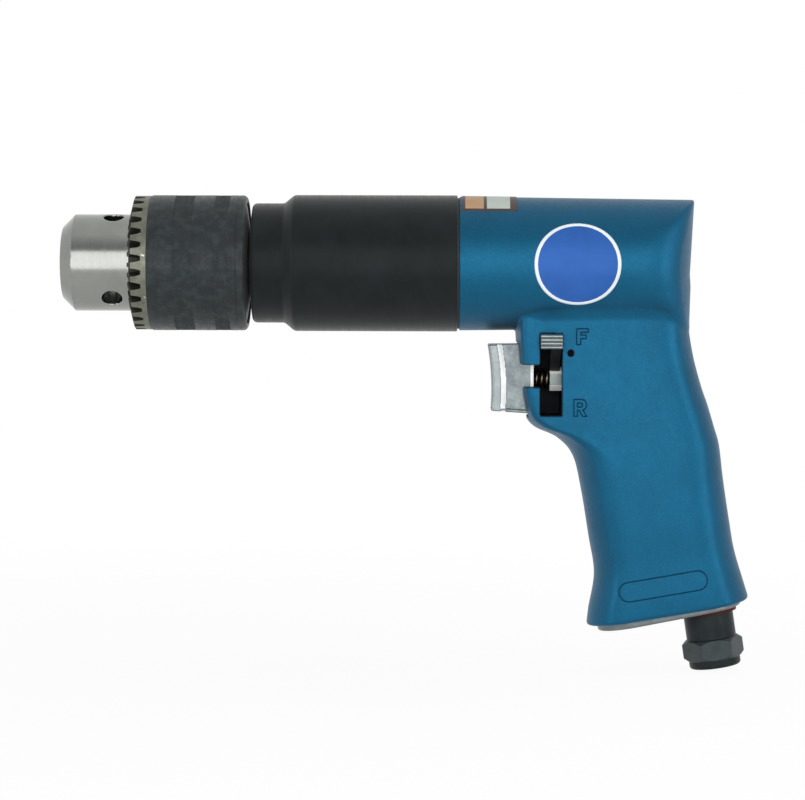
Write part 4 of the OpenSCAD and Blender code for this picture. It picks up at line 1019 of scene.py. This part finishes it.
@dataclass
class Chuck:
    """The keyed chuck: nose and core, toothed sleeve and three jaws."""

    sleeve_front: float = 21.6
    sleeve_back: float = 58.8
    sleeve_r: float = 21.5
    ring_r: float = 21.3
    ring_end: float = 28.2
    lip_r: float = 15.45
    bore_r: float = 19.4
    wall: float = 26.2
    slope_len: float = 1.5
    teeth: int = 30
    tooth_turn: float = 86.0
    gap_depth: float = 3.36
    gap_width: float = 2.7
    gap_flank: float = 0.85
    knurls: int = 135
    knurl_depth: float = 0.26
    bands: tuple = ((36.3, 42.3), (48.9, 53.5))
    tilt: float = 14.5
    jaw_front: float = 6.0
    jaw_back: float = 48.76
    jaw_out: float = 3.9
    jaw_r: float = 3.4
    jaw_bore_r: float = 3.5
    jaw_pitch: float = 2.0
    key_x: float = 16.4
    key_floor: float = 9.55
    key_r: float = 3.175
    key_turns: tuple[float, ...] = (18.0, 138.0, 258.0)
    jaw_turns: tuple[float, ...] = (78.0, 198.0, 318.0)
    core: tuple = ((0, 7.6), (0, 11.5), (3.9, 15.35), (26.2, 15.35), (26.2, 12.6), (35.8, 12.6), (35.8, 19.3),
                   (58.1, 19.3), (59.3, 11.3), (59.9, 11.3), (59.9, 6.35), (44.7, 6.35), (44.7, 3.0),
                   (37.7, 3.0), (37.7, 7.0), (0.6, 7.0))

    def outward_at(self, turn: float) -> Array:
        """The direction out from the axis at a turn in degrees, from the top towards the near side."""
        a = math.radians(turn)
        return np.array([0.0, -math.sin(a), math.cos(a)])

    def jaw_axis(self, turn: float) -> tuple[Array, Array]:
        """A jaw's start at its tip and its leaning direction to the back."""
        out, lean = self.outward_at(turn), math.radians(self.tilt)
        way = np.array([math.cos(lean), 0.0, 0.0]) + math.sin(lean) * out
        return np.array([self.jaw_front, 0.0, 0.0]) + self.jaw_out * out, way

    def core_form(self, p: Array) -> Array:
        """Distance to the core: the turned body less its leaning jaw bores and the key's pilot holes."""
        found = lathe(p, self.core)
        for turn in self.jaw_turns:
            tip, way = self.jaw_axis(turn)
            found = np.maximum(found, -rod(p, tip - 10 * way, way, self.jaw_bore_r, 56.3))
        for turn in self.key_turns:
            out = self.outward_at(turn)
            start = np.array([self.key_x, 0, 0]) + self.key_floor * out
            found = cut(found, rod(p, start, out, self.key_r, 20.0), 0.45)
        return found

    def jaw_form(self, turn: float) -> Field:
        """The field of one jaw: a leaning bar cut back to a wedge of 120 degrees, threaded behind.

        Args:
            turn: The jaw's place round the axis, in degrees.

        Returns:
            The field.
        """
        tip, way = self.jaw_axis(turn)
        out = self.outward_at(turn)
        side = np.cross(out, (1.0, 0.0, 0.0))

        def form(p: Array) -> Array:
            """Distance to the jaw, with ridges of the nut's pitch on the outer side of its back half."""
            along = (p - tip) @ way
            rise = np.abs((along / self.jaw_pitch) % 1 - 0.5) * 2
            groove = 0.35 * rise * np.clip((along - 22) / 2, 0, 1) * np.clip(
                ((p - tip - along[:, None] * way) @ out) / 2, 0, 1)
            bar = rod(p, tip - 10 * way, way, self.jaw_r, 60.0) + groove
            wedge = (6.5 + np.abs(p @ side) / math.tan(math.radians(60)) - p @ out) * 0.866
            ends = np.maximum(self.jaw_front - p[:, 0], p[:, 0] - self.jaw_back)
            return meet(meet(bar, wedge, 0.2), ends, 0.25)
        return form

    def sleeve_shape(self) -> Shape:
        """The sleeve as one grid of turn and profile.

        Along the profile the radius is plain, but in the two bands it falls by the depth times one
        less the lower of two crossed saw waves, which leaves diamonds. In the gaps between teeth
        the front slope and the ring's edge shift back by the gap's depth, by a share that grows
        over the flank with the distance from the gap's middle.

        Returns:
            The shape, with patches for black body, bare teeth, and their gaps and sloping front dark with oil
            and painted shade.
        """
        first, second = self.bands
        rim = self.sleeve_front + self.slope_len
        wall, bore = self.wall, self.bore_r
        lip = np.array([0.25, 0.5, 0.75])
        bend = np.radians(np.linspace(10, 90, 8))
        runs = [
            (np.linspace(self.sleeve_front, rim, 10), np.linspace(self.lip_r, self.ring_r - 0.15, 10)),
            (np.linspace(rim + 0.15, self.ring_end - 0.2, 9), np.full(9, self.ring_r)),
            (self.ring_end + np.array([-0.1, 0.1, 0.5]), np.array([self.ring_r, 21.2, self.sleeve_r])),
            (np.array([29.2, 32.0, first[0] - 0.2]), np.full(3, self.sleeve_r)),
            (np.linspace(*first, 39), np.full(39, self.sleeve_r)),
            (np.array([first[1] + 0.2, 45.0, second[0] - 0.2]), np.full(3, self.sleeve_r)),
            (np.linspace(*second, 30), np.full(30, self.sleeve_r)),
            (np.array([53.7, 55.9, 56.0, 56.3, 56.4, 57.25]),
             self.sleeve_r - np.array([0, 0, 0.12, 0.12, 0, 0])),
            (self.sleeve_back - 1.5 + 1.5 * np.sin(bend), self.sleeve_r - 1.5 + 1.5 * np.cos(bend)),
            (np.array([self.sleeve_back, self.sleeve_back - 0.1, 39, wall + 0.05, wall, wall]),
             np.array([bore + 0.1, bore, bore, bore, bore - 0.1, self.lip_r + 0.1])),
            (wall - (wall - self.sleeve_front) * lip, np.full(3, self.lip_r)),
        ]
        x = np.concatenate([run[0] for run in runs])[:, None]
        r = np.concatenate([run[1] for run in runs])[:, None]
        a = np.arange(self.teeth * 27) * 2 * math.pi / (self.teeth * 27)
        pitch = 2 * math.pi / self.teeth
        off = np.abs((a - math.radians(self.tooth_turn) + pitch / 2) % pitch - pitch / 2)
        share = np.clip((self.gap_width / 2 - off * self.ring_r) / self.gap_flank, 0, 1)
        share = share * (2 - share)
        ahead = np.clip((self.ring_end - 0.2 - x) / (self.ring_end - 0.2 - rim), 0, 1)
        ahead[-3:] = lip[:, None]
        along = x + self.gap_depth * share * ahead
        count = self.knurls * a / (2 * math.pi)
        saw = [np.abs((count + s * (x - first[0])) % 1 - 0.5) * 2 for s in (1, -1)]
        banded = sum(((x >= b[0]) & (x <= b[1])).astype(float) for b in self.bands)
        out = r - self.knurl_depth * banded * (1 - np.minimum(*saw))
        spots = np.stack([along, -out * np.sin(a), out * np.cos(a)], axis=-1).reshape(-1, 3)
        quads = lattice(len(x), len(a))
        row = np.arange(len(quads)) // len(a)
        bare = (row < 19) | (row >= len(x) - 4)
        # The sloping front and the gap floors take the dark finish: oil and painted shade
        patches = np.where(row < 10, 2, np.where(bare, 1, 0))
        return Shape(spots, outward(spots, quads), patches=patches, sharp=40)

    def build(self) -> None:
        """Make the core, the sleeve and the jaws."""
        fine = 0.38
        shape = skin(self.core_form, (0, -19.3, -19.3), (59.9, 19.3, 19.3), fine)
        # Under the sleeve the core takes the dark finish as painted shade, seen through the tooth gaps
        shape.patches = np.digitize(middles(shape)[:, 0], (self.sleeve_front + 0.3, 36))
        show("chuck_core", shape, [TURNED_STEEL, OIL_AND_SHADE_STEEL, BLACK_OXIDE], Body.SPINDLE, Slot.BARE_STEEL,
             "chuck_body")
        show("chuck_sleeve_toothed", self.sleeve_shape(), [WORN_OXIDE, BARE_TEETH, OIL_AND_SHADE_STEEL], Body.SLEEVE,
             Slot.BLACK_STEEL, "chuck_sleeve")
        for k, (turn, body) in enumerate(zip(self.jaw_turns, (Body.JAW_1, Body.JAW_2, Body.JAW_3)), 1):
            shape = wrapped(self.jaw_form(turn), f"chuck_jaw_{k}", fine)
            show(f"jaw_{k}_threaded", shape, [TURNED_STEEL], body, Slot.GEAR_STEEL, f"chuck_jaw_{k}")


@dataclass
class Trigger:
    """The dished trigger and its return spring."""

    front: float = 135.1
    back: float = 149.8
    top: float = -25.3
    bottom: float = -47.9
    half: float = 7.0
    lean: float = 1.0
    dish: float = 0.8
    pad: float = 2.9
    recess: float = 1.0
    shoulder: float = 1.8
    lip: float = 1.4
    top_fall: float = 0.02
    bottom_rise: float = 0.065
    spring_r: float = 2.9
    wire_r: float = 0.4
    turns: int = 5
    spring_x: tuple[float, float] = (146.2, 154.5)
    squeezed: float = 5.1 / 9.1

    def face(self, z: Array) -> Array:
        """Where the dished front stands at a height, leaning back and hollowed by a parabola."""
        s = np.clip((self.top - z) / (self.top - self.bottom), 0, 1)
        return self.front + self.lean * s + 4 * self.dish * s * (1 - s)

    def form(self, p: Array) -> Array:
        """Distance to the trigger: a block with a dished front, hollowed at the sides behind its pad.

        Args:
            p: Points.

        Returns:
            The distances.
        """
        x, y, z = p.T
        face = self.face(z)
        ahead = self.back - x
        low = self.bottom + self.bottom_rise * ahead
        upright = np.maximum(z - self.top + self.top_fall * ahead, low + 0.4 - z)
        found = meet(meet(np.abs(y) - self.half, face - x, 1.1), upright, 0.5)
        found = meet(found, x - self.back, 0.3)
        slant = (face + self.pad - x) * self.recess + (self.half - np.abs(y)) * self.shoulder
        slant /= math.hypot(self.recess, self.shoulder)
        hollow = meet(meet(slant, self.half - self.recess - np.abs(y), 0.1), low + self.lip - z, 0.2)
        found = cut(found, hollow, 0.25)
        return np.maximum(found, -rod(p, (self.back - 4, 0, STEM_Z), (1, 0, 0), 3.8, 6.0))

    def build(self) -> None:
        """Make the trigger and its spring."""
        shape = skin(self.form, (self.front, -self.half, self.bottom), (self.back, self.half, self.top),
                     0.22)
        x, y, z = middles(shape).T
        behind = x - self.face(z) - self.pad
        out = np.abs(y) - self.half
        # The bevels and the leg's end take the near white painted highlight
        bevel = (behind > 0.1) & (behind < self.shoulder - 0.1) & (out < -0.05) & (out > -self.recess)
        leg_end = (x > self.back - 1.1) & (out > -2.5) & (np.abs(z - STEM_Z) < 6)
        # The hollowed flanks take the darker alloy as painted shade
        flank = (behind > 0) & (out > -self.recess - 0.3)
        shape.patches = np.where(bevel | leg_end, 1, np.where(flank, 2, 0))
        show("trigger_dished", shape, [CAST_ALLOY, HIGHLIGHT_ALLOY, SHADED_FLANK_ALLOY], Body.TRIGGER, Slot.CAST_SILVER,
             "trigger")
        t = np.linspace(0, self.turns, 48 * self.turns + 1)
        a = 2 * math.pi * t
        x = self.spring_x[0] + (self.spring_x[1] - self.spring_x[0]) * t / self.turns
        path = np.stack([x, self.spring_r * np.sin(a), self.spring_r * np.cos(a) + STEM_Z], axis=1)
        coil = show("trigger_spring_coil", tube(path, self.wire_r, 12, False), [SPRING_WIRE], Body.HOUSING,
                    Slot.SPRING_STEEL, "trigger_spring")
        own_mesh(coil)


@dataclass
class ReverseLever:
    """The hub on the valve, the arm out of the slot and the thumb knob."""

    hub_x: float = 154.9
    hub_end: float = 159.0
    hub_half: float = 3.8
    hub_corner: float = 5.75
    spigot_r: float = 3.48
    stem_r: float = 1.9
    arm_end: float = 158.2
    arm_half: float = 1.7
    angle: float = 29.936
    length: float = 18.636
    lift: float = 3.0
    knob_low: tuple[float, float, float] = (151.7, -17.95, -26.6)
    knob_high: tuple[float, float, float] = (158.6, -14.35, -22.0)
    ridges: int = 4

    def arm(self, p: Array, grow: float = 0.0) -> Array:
        """Distance to the arm's bar, which leans up from the top of the hub."""
        a = math.radians(self.angle)
        q = p - np.array([self.hub_x, 0.0, STEM_Z + self.lift])
        local = np.stack([q[:, 0], q[:, 1] * math.cos(a) - q[:, 2] * math.sin(a),
                          q[:, 1] * math.sin(a) + q[:, 2] * math.cos(a)], axis=1)
        low = (0.3, -self.length + 0.3, -self.arm_half)
        return block(local, low, (self.arm_end - self.hub_x - 0.3, 0, self.arm_half)) - 0.3 - grow

    def hub(self, p: Array) -> Array:
        """Distance to the hub's bar, a square with its corners cut off."""
        y, z = np.abs(p[:, 1]), np.abs(p[:, 2] - STEM_Z)
        square = meet(y - self.hub_half, z - self.hub_half, 0.1)
        side = meet(square, (y + z - self.hub_corner) / math.sqrt(2), 0.1)
        return meet(side, np.maximum(self.hub_x - p[:, 0], p[:, 0] - self.hub_end), 0.15)

    def hub_form(self, p: Array) -> Array:
        """Distance to the hub with its spigot and the hole for the stem."""
        spigot = rod(p, (self.hub_end - 0.3, 0, STEM_Z), (1, 0, 0), self.spigot_r, 3.3)
        hole = rod(p, (self.hub_x - 4.9, 0, STEM_Z), (1, 0, 0), self.stem_r, 20.0)
        return np.maximum(np.minimum(self.hub(p), spigot), -hole)

    def arm_form(self, p: Array) -> Array:
        """Distance to the arm outside the hub."""
        return np.maximum(self.arm(p), -self.hub(p))

    def knob_form(self, p: Array) -> Array:
        """Distance to the knob: a rounded block with level ridges on its face, slotted for the arm."""
        low, high = np.array(self.knob_low), np.array(self.knob_high)
        found = block(p, low + 0.4, high - 0.4) - 0.4
        step = (high[2] - low[2]) / self.ridges
        wave = np.abs(((p[:, 2] - low[2]) / step) % 1 - 0.5) * 2
        ridge = low[1] - p[:, 1] + 0.55 * np.clip(1.6 * wave - 0.6, 0, 1)
        found = np.maximum(found, ridge)
        return np.maximum(found, -self.arm(p, 0.02))

    def build(self) -> None:
        """Make the three pieces."""
        fine = 0.16
        jobs = (("lever_knob_ridged", self.knob_form, CAST_ALLOY, Slot.CAST_SILVER, "reverse_knob"),
                ("lever_arm", self.arm_form, PHOSPHATE, Slot.BLACK_STEEL, "reverse_lever"),
                ("lever_hub_squared", self.hub_form, HUB_STEEL, Slot.BARE_STEEL, "lever_hub"))
        for name, form, finish, slot, node in jobs:
            shape = wrapped(form, node, fine)
            x, y, z = np.abs(middles(shape) - (0, 0, STEM_Z)).T
            # The hub's chamfers take the near white painted highlight
            chamfer = (x < self.hub_end - 0.3) & (y + z > self.hub_corner - 0.15)
            shape.patches = np.where((node == "lever_hub") & chamfer, 1, 0)
            show(name, shape, [finish, HIGHLIGHT_ALLOY], Body.LEVER, slot, node)


@dataclass
class SoleFittings:
    """The exhaust plate with its screws, and the inlet bushing."""

    casting: Casting
    plate_t: float = 2.4
    plate_half: float = 12.0
    plate_front: float = 15.5
    plate_back: float = 14.8
    inlet_hole_r: float = 9.15
    screw_places: tuple = ((0.19, 0.0), (0.56, -8.5), (0.56, 8.5))
    neck_r: float = 7.9
    hex_flat: float = 8.5
    hex_turn: float = 2.5
    hex_span: tuple[float, float] = (-10.7, -17.2)
    bevel: float = 40.0
    thread_span: tuple[float, float] = (-19.3, -6.9)
    thread_r: float = 5.8
    thread_depth: float = 0.42
    thread_pitch: float = 1.41

    def local(self, p: Array, share: float) -> Array:
        """Coordinates along the sole, across it and into the grip, from a place on the sole."""
        run, down = self.casting.sole_axes()
        q = p - self.casting.sole(share)
        return np.stack([q @ run, q[:, 1], q @ -down], axis=1)

    def thick(self, along: Array | float) -> Array | float:
        """Thickness of the plate, which falls from toe to heel."""
        return self.plate_t - 0.1 - 0.022 * (along + 17.5)

    def sunk(self, p: Array, share: float, side: float) -> Array:
        """Coordinates of a screw in its place on the sole, with its head's face at nought."""
        along = (share - self.casting.vent_share) * self.casting.sole_length()
        return self.local(p, share) + (0, -side, self.thick(along))

    def plate_form(self, p: Array) -> Array:
        """Distance to the plate: a long round ended plate with slots, screw seats and the inlet's hole.

        Args:
            p: Points.

        Returns:
            The distances.
        """
        share, length = self.casting.vent_share, self.casting.sole_length()
        q = self.local(p, share)
        front, back = self.plate_front - share * length, (1 - share) * length - self.plate_back
        along = np.abs(q[:, 0] - (front + back) / 2) - (back - front) / 2
        outline = np.hypot(np.maximum(along, 0), q[:, 1]) - self.plate_half
        found = meet(meet(outline, -self.thick(q[:, 0]) - q[:, 2], 0.7), q[:, 2], 0.1)
        near = np.abs((q[:, 0] / 3.2) % 1 - 0.5) * 3.2 - 0.8
        slots = np.maximum(np.maximum(near, np.abs(q[:, 0]) - 6.4), np.abs(q[:, 1]) - 4.5)
        found = cut(found, slots, 0.2)
        for share, side in self.screw_places:
            found = np.maximum(found, -self.screw(self.sunk(p, share, side), 0.05))
        neck = self.casting.sole(self.casting.inlet_share)
        return cut(found, rod(p, neck - 9 * INLET_WAY, INLET_WAY, self.inlet_hole_r, 18.0), 0.2)

    def screw(self, q: Array, gap: float) -> Array:
        """Distance to one countersunk screw, with its head's face at nought."""
        out = np.hypot(q[:, 0], q[:, 1])
        head = np.maximum((out - 2.8 + q[:, 2]) * 0.7071, -q[:, 2])
        shank = np.maximum(out - 1.5, np.maximum(-q[:, 2], q[:, 2] - 12.0))
        return np.minimum(head, shank) - gap

    def screws_form(self, p: Array) -> Array:
        """Distance to the three screws, each with a six sided recess."""
        found = []
        for share, side in self.screw_places:
            q = self.sunk(p, share, side)
            recess = np.maximum.reduce([np.abs(q[:, 0] * math.cos(a) + q[:, 1] * math.sin(a)) - 1.0
                                        for a in np.radians((0, 60, 120))])
            recess = np.maximum(recess, q[:, 2] - 1.1)
            found.append(np.maximum(self.screw(q, 0.0), -recess))
        return np.minimum.reduce(found)

    def bushing_shape(self) -> Shape:
        """The bushing as one grid of turn and profile.

        The radius is the profile's own, but on the hexagon it is the lower of the hexagon's edge at
        that turn, flat / cos(turn from the flat's middle), and the bevel cones that grow from the
        flat's radius at both ends. In the mouth the thread adds a saw wave that climbs one pitch a turn.

        Returns:
            The closed shape, with the hexagon as a patch of its own.
        """
        turns = np.arange(216) * 2 * math.pi / 216
        off = (turns - math.radians(self.hex_turn)) % (math.pi / 3) - math.pi / 6
        edge = self.hex_flat / np.cos(off)
        steep = math.tan(math.radians(self.bevel))
        hexes, mouth = np.linspace(*self.hex_span, 53), np.linspace(*self.thread_span, 96)
        runs = [
            (np.array([12.0, -3.0, -10.45]), np.full(3, self.neck_r)),
            (hexes, np.full(53, 20.0)),
            (np.array([-17.35, -18.8, -19.25, -19.55, -19.75, -19.8]),
             np.array([8.2, 8.2, 8.12, 7.9, 7.6, 7.3])),
            (np.array([-19.8, -19.65]), np.array([6.6, 6.35])),
            (mouth, np.full(96, self.thread_r)),
            (np.array([-6.8, -6.8, 12.0]), np.array([5.6, 4.2, 4.2])),
        ]
        z = np.concatenate([run[0] for run in runs])[:, None]
        r = np.concatenate([run[1] for run in runs])[:, None]
        top, bottom = self.hex_span
        cone = self.hex_flat - 0.1 + np.minimum(top - z, z - bottom) / steep
        out = np.where(r > 15, np.minimum(edge, cone), r)
        saw = np.abs((z / self.thread_pitch + turns / (2 * math.pi)) % 1 - 0.5) * 2
        out = out + self.thread_depth * saw * (r == self.thread_r)
        x, y = out * np.cos(turns), out * np.sin(turns)
        neck = self.casting.sole(self.casting.inlet_share)
        spots = (neck - z[..., None] * INLET_WAY + x[..., None] * ACROSS_INLET
                 + y[..., None] * np.array([0.0, 1.0, 0.0])).reshape(-1, 3)
        quads = lattice(len(z), len(turns))
        row = np.arange(len(quads)) // len(turns)
        return Shape(spots, outward(spots, quads), patches=np.where((row > 2) & (row < 55), 1, 0), sharp=28)

    def build(self) -> None:
        """Make the plate, its screws and the bushing."""
        fine = 0.3
        # The exhaust plate's darker alloy is painted shade
        for name, form, finish, slot, node in (
                ("exhaust_plate", self.plate_form, SHADED_PLATE_ALLOY, Slot.CAST_SILVER, "exhaust_deflector"),
                ("sole_screws", self.screws_form, BRIGHT_STEEL, Slot.BARE_STEEL, "deflector_screws")):
            show(name, wrapped(form, node, fine), [finish], Body.HOUSING, slot, node)
        show("inlet_bushing_hex", self.bushing_shape(), [PHOSPHATE, LIGHTER_PHOSPHATE], Body.HOUSING,
             Slot.BLACK_STEEL, "inlet_bushing")


@dataclass
class Studio:
    """Camera, lamps, white surroundings and the pale floor."""

    aim: tuple[float, float, float] = (0.1081, 0.0, -0.0436)
    azimuth: float = 1.0
    elevation: float = 3.0
    distance: float = 0.957
    lens: float = 134.0
    roll: float = 0.15
    floor_z: float = -0.1298
    lamps: tuple = (
        ("key", (0.16, -1.25, 0.02), (1.1, 1.22), 11.0, True),
        ("left", (-0.95, -0.85, 0.05), (0.35, 1.0), 5.5, True),
        ("right", (1.25, -0.85, 0.05), (0.35, 1.0), 5.5, True),
        ("top", (0.10, 0.15, 1.2), (1.4, 1.0), 4.0, False),
    )

    def point(self, item: bpy.types.Object, place: Sequence[float], roll: float = 0.0) -> None:
        """Put an object at a place, turned to the middle of the drill and rolled by some degrees."""
        item.location = place
        look = (Vector(self.aim) - item.location).to_track_quat("-Z", "Y")
        item.rotation_euler = (look @ Quaternion((0, 0, 1), math.radians(roll))).to_euler()

    def camera(self) -> None:
        """Set the camera at the photograph's angle."""
        lens = bpy.data.cameras.new("camera")
        lens.lens, lens.sensor_width, lens.clip_start = self.lens, 36.0, 0.01
        item = bpy.data.objects.new("camera", lens)
        bpy.context.scene.collection.objects.link(item)
        a, e = math.radians(self.azimuth), math.radians(self.elevation)
        way = (math.sin(a) * math.cos(e), -math.cos(a) * math.cos(e), math.sin(e))
        self.point(item, [m + self.distance * w for m, w in zip(self.aim, way)], self.roll)
        bpy.context.scene.camera = item

    def lights(self) -> None:
        """Hang the soft lamps: a key, a strip on each side, and one above that metal doesn't mirror."""
        for name, place, size, power, mirrored in self.lamps:
            lamp = bpy.data.lights.new(name, "AREA")
            lamp.shape, lamp.size, lamp.size_y, lamp.energy = "RECTANGLE", size[0], size[1], power
            item = bpy.data.objects.new(name, lamp)
            bpy.context.scene.collection.objects.link(item)
            item.visible_camera, item.visible_glossy = False, mirrored
            self.point(item, place)

    def seen(self, tree: bpy.types.NodeTree) -> bpy.types.NodeSocket:
        """One where a camera, glossy or transmission ray looks, and nought for light that falls."""
        path = add(tree, "ShaderNodeLightPath")
        first = add(tree, "ShaderNodeMath", links={0: path.outputs["Is Camera Ray"],
                    1: path.outputs["Is Glossy Ray"]}, operation="MAXIMUM")
        links = {0: first.outputs[0], 1: path.outputs["Is Transmission Ray"]}
        return add(tree, "ShaderNodeMath", links=links, operation="MAXIMUM").outputs[0]

    def surroundings(self) -> None:
        """White to the eye; metal sees white all round but for a dimmer room where the camera stands."""
        world = bpy.data.worlds.new("white_studio")
        bpy.context.scene.world = world
        world.use_nodes = True
        tree = world.node_tree
        back = tree.nodes["Background"]
        back.inputs["Color"].default_value = linear("#ffffff")
        look = add(tree, "ShaderNodeTexCoord").outputs["Generated"]
        way = add(tree, "ShaderNodeSeparateXYZ", links={0: look})
        room = add(tree, "ShaderNodeMapRange", {"From Min": -0.9, "From Max": -0.35, "To Min": 0.3,
                   "To Max": 1.0}, {"Value": way.outputs["Y"]})
        path = add(tree, "ShaderNodeLightPath")
        white = add(tree, "ShaderNodeMath", links={0: room.outputs[0], 1: path.outputs["Is Camera Ray"]},
                    operation="MAXIMUM")
        level = add(tree, "ShaderNodeMix", {"A": 0.45}, data_type="FLOAT")
        tree.links.new(self.seen(tree), level.inputs["Factor"])
        tree.links.new(white.outputs[0], level.inputs["B"])
        tree.links.new(level.outputs[0], back.inputs["Strength"])

    def floor(self) -> None:
        """Lay the pale floor under the inlet, white to the eye but for a faint shadow."""
        mesh = bpy.data.meshes.new("floor")
        reach = 0.5
        mesh.from_pydata([(-reach, -reach, self.floor_z), (reach, -reach, self.floor_z),
                          (reach, reach, self.floor_z), (-reach, reach, self.floor_z)], [], [(0, 1, 2, 3)])
        material = bpy.data.materials.new("pale_floor")
        material.use_nodes = True
        tree = material.node_tree
        shader = tree.nodes["Principled BSDF"]
        shader.inputs["Base Color"].default_value = linear("#f2f2f0")
        shader.inputs["Roughness"].default_value = 0.9
        glow = add(tree, "ShaderNodeEmission", {"Strength": 1.0})
        far = add(tree, "ShaderNodeVectorMath", links={0: add(tree, "ShaderNodeTexCoord").outputs["Object"]},
                  operation="LENGTH")
        fade = add(tree, "ShaderNodeMapRange", {"From Min": 0.16, "From Max": 0.44, "To Min": 0.92,
                   "To Max": 1.0}, {"Value": far.outputs["Value"]})
        share = add(tree, "ShaderNodeMath", links={0: self.seen(tree), 1: fade.outputs[0]},
                    operation="MULTIPLY")
        mix = add(tree, "ShaderNodeMixShader", links={0: share.outputs[0], 1: shader.outputs[0],
                  2: glow.outputs[0]})
        tree.links.new(mix.outputs[0], tree.nodes["Material Output"].inputs["Surface"])
        mesh.materials.append(material)
        item = bpy.data.objects.new("floor", mesh)
        bpy.context.scene.collection.objects.link(item)

    def build(self) -> None:
        """Set up the whole studio."""
        self.camera()
        self.lights()
        self.surroundings()
        self.floor()
        bpy.context.scene.view_settings.view_transform = "Standard"


def dress_inside() -> None:
    """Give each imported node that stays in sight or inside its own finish."""
    for finish, nodes in CAD_FINISHES.items():
        for name in nodes:
            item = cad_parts[name]
            item.data.materials.clear()
            item.data.materials.append(finish.material())
            LOG.info("%s: %s", name, finish.name)


def main() -> None:
    """Build the sub-assemblies in order."""
    logging.basicConfig(level=logging.INFO, format="%(message)s")
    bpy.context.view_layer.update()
    Studio().build()
    casting = Casting()
    for assembly in (casting, Markings(casting), GearCase(), Chuck(), Trigger(), ReverseLever(),
                     SoleFittings(casting)):
        assembly.build()
    dress_inside()


if __name__ == "__main__":
    main()
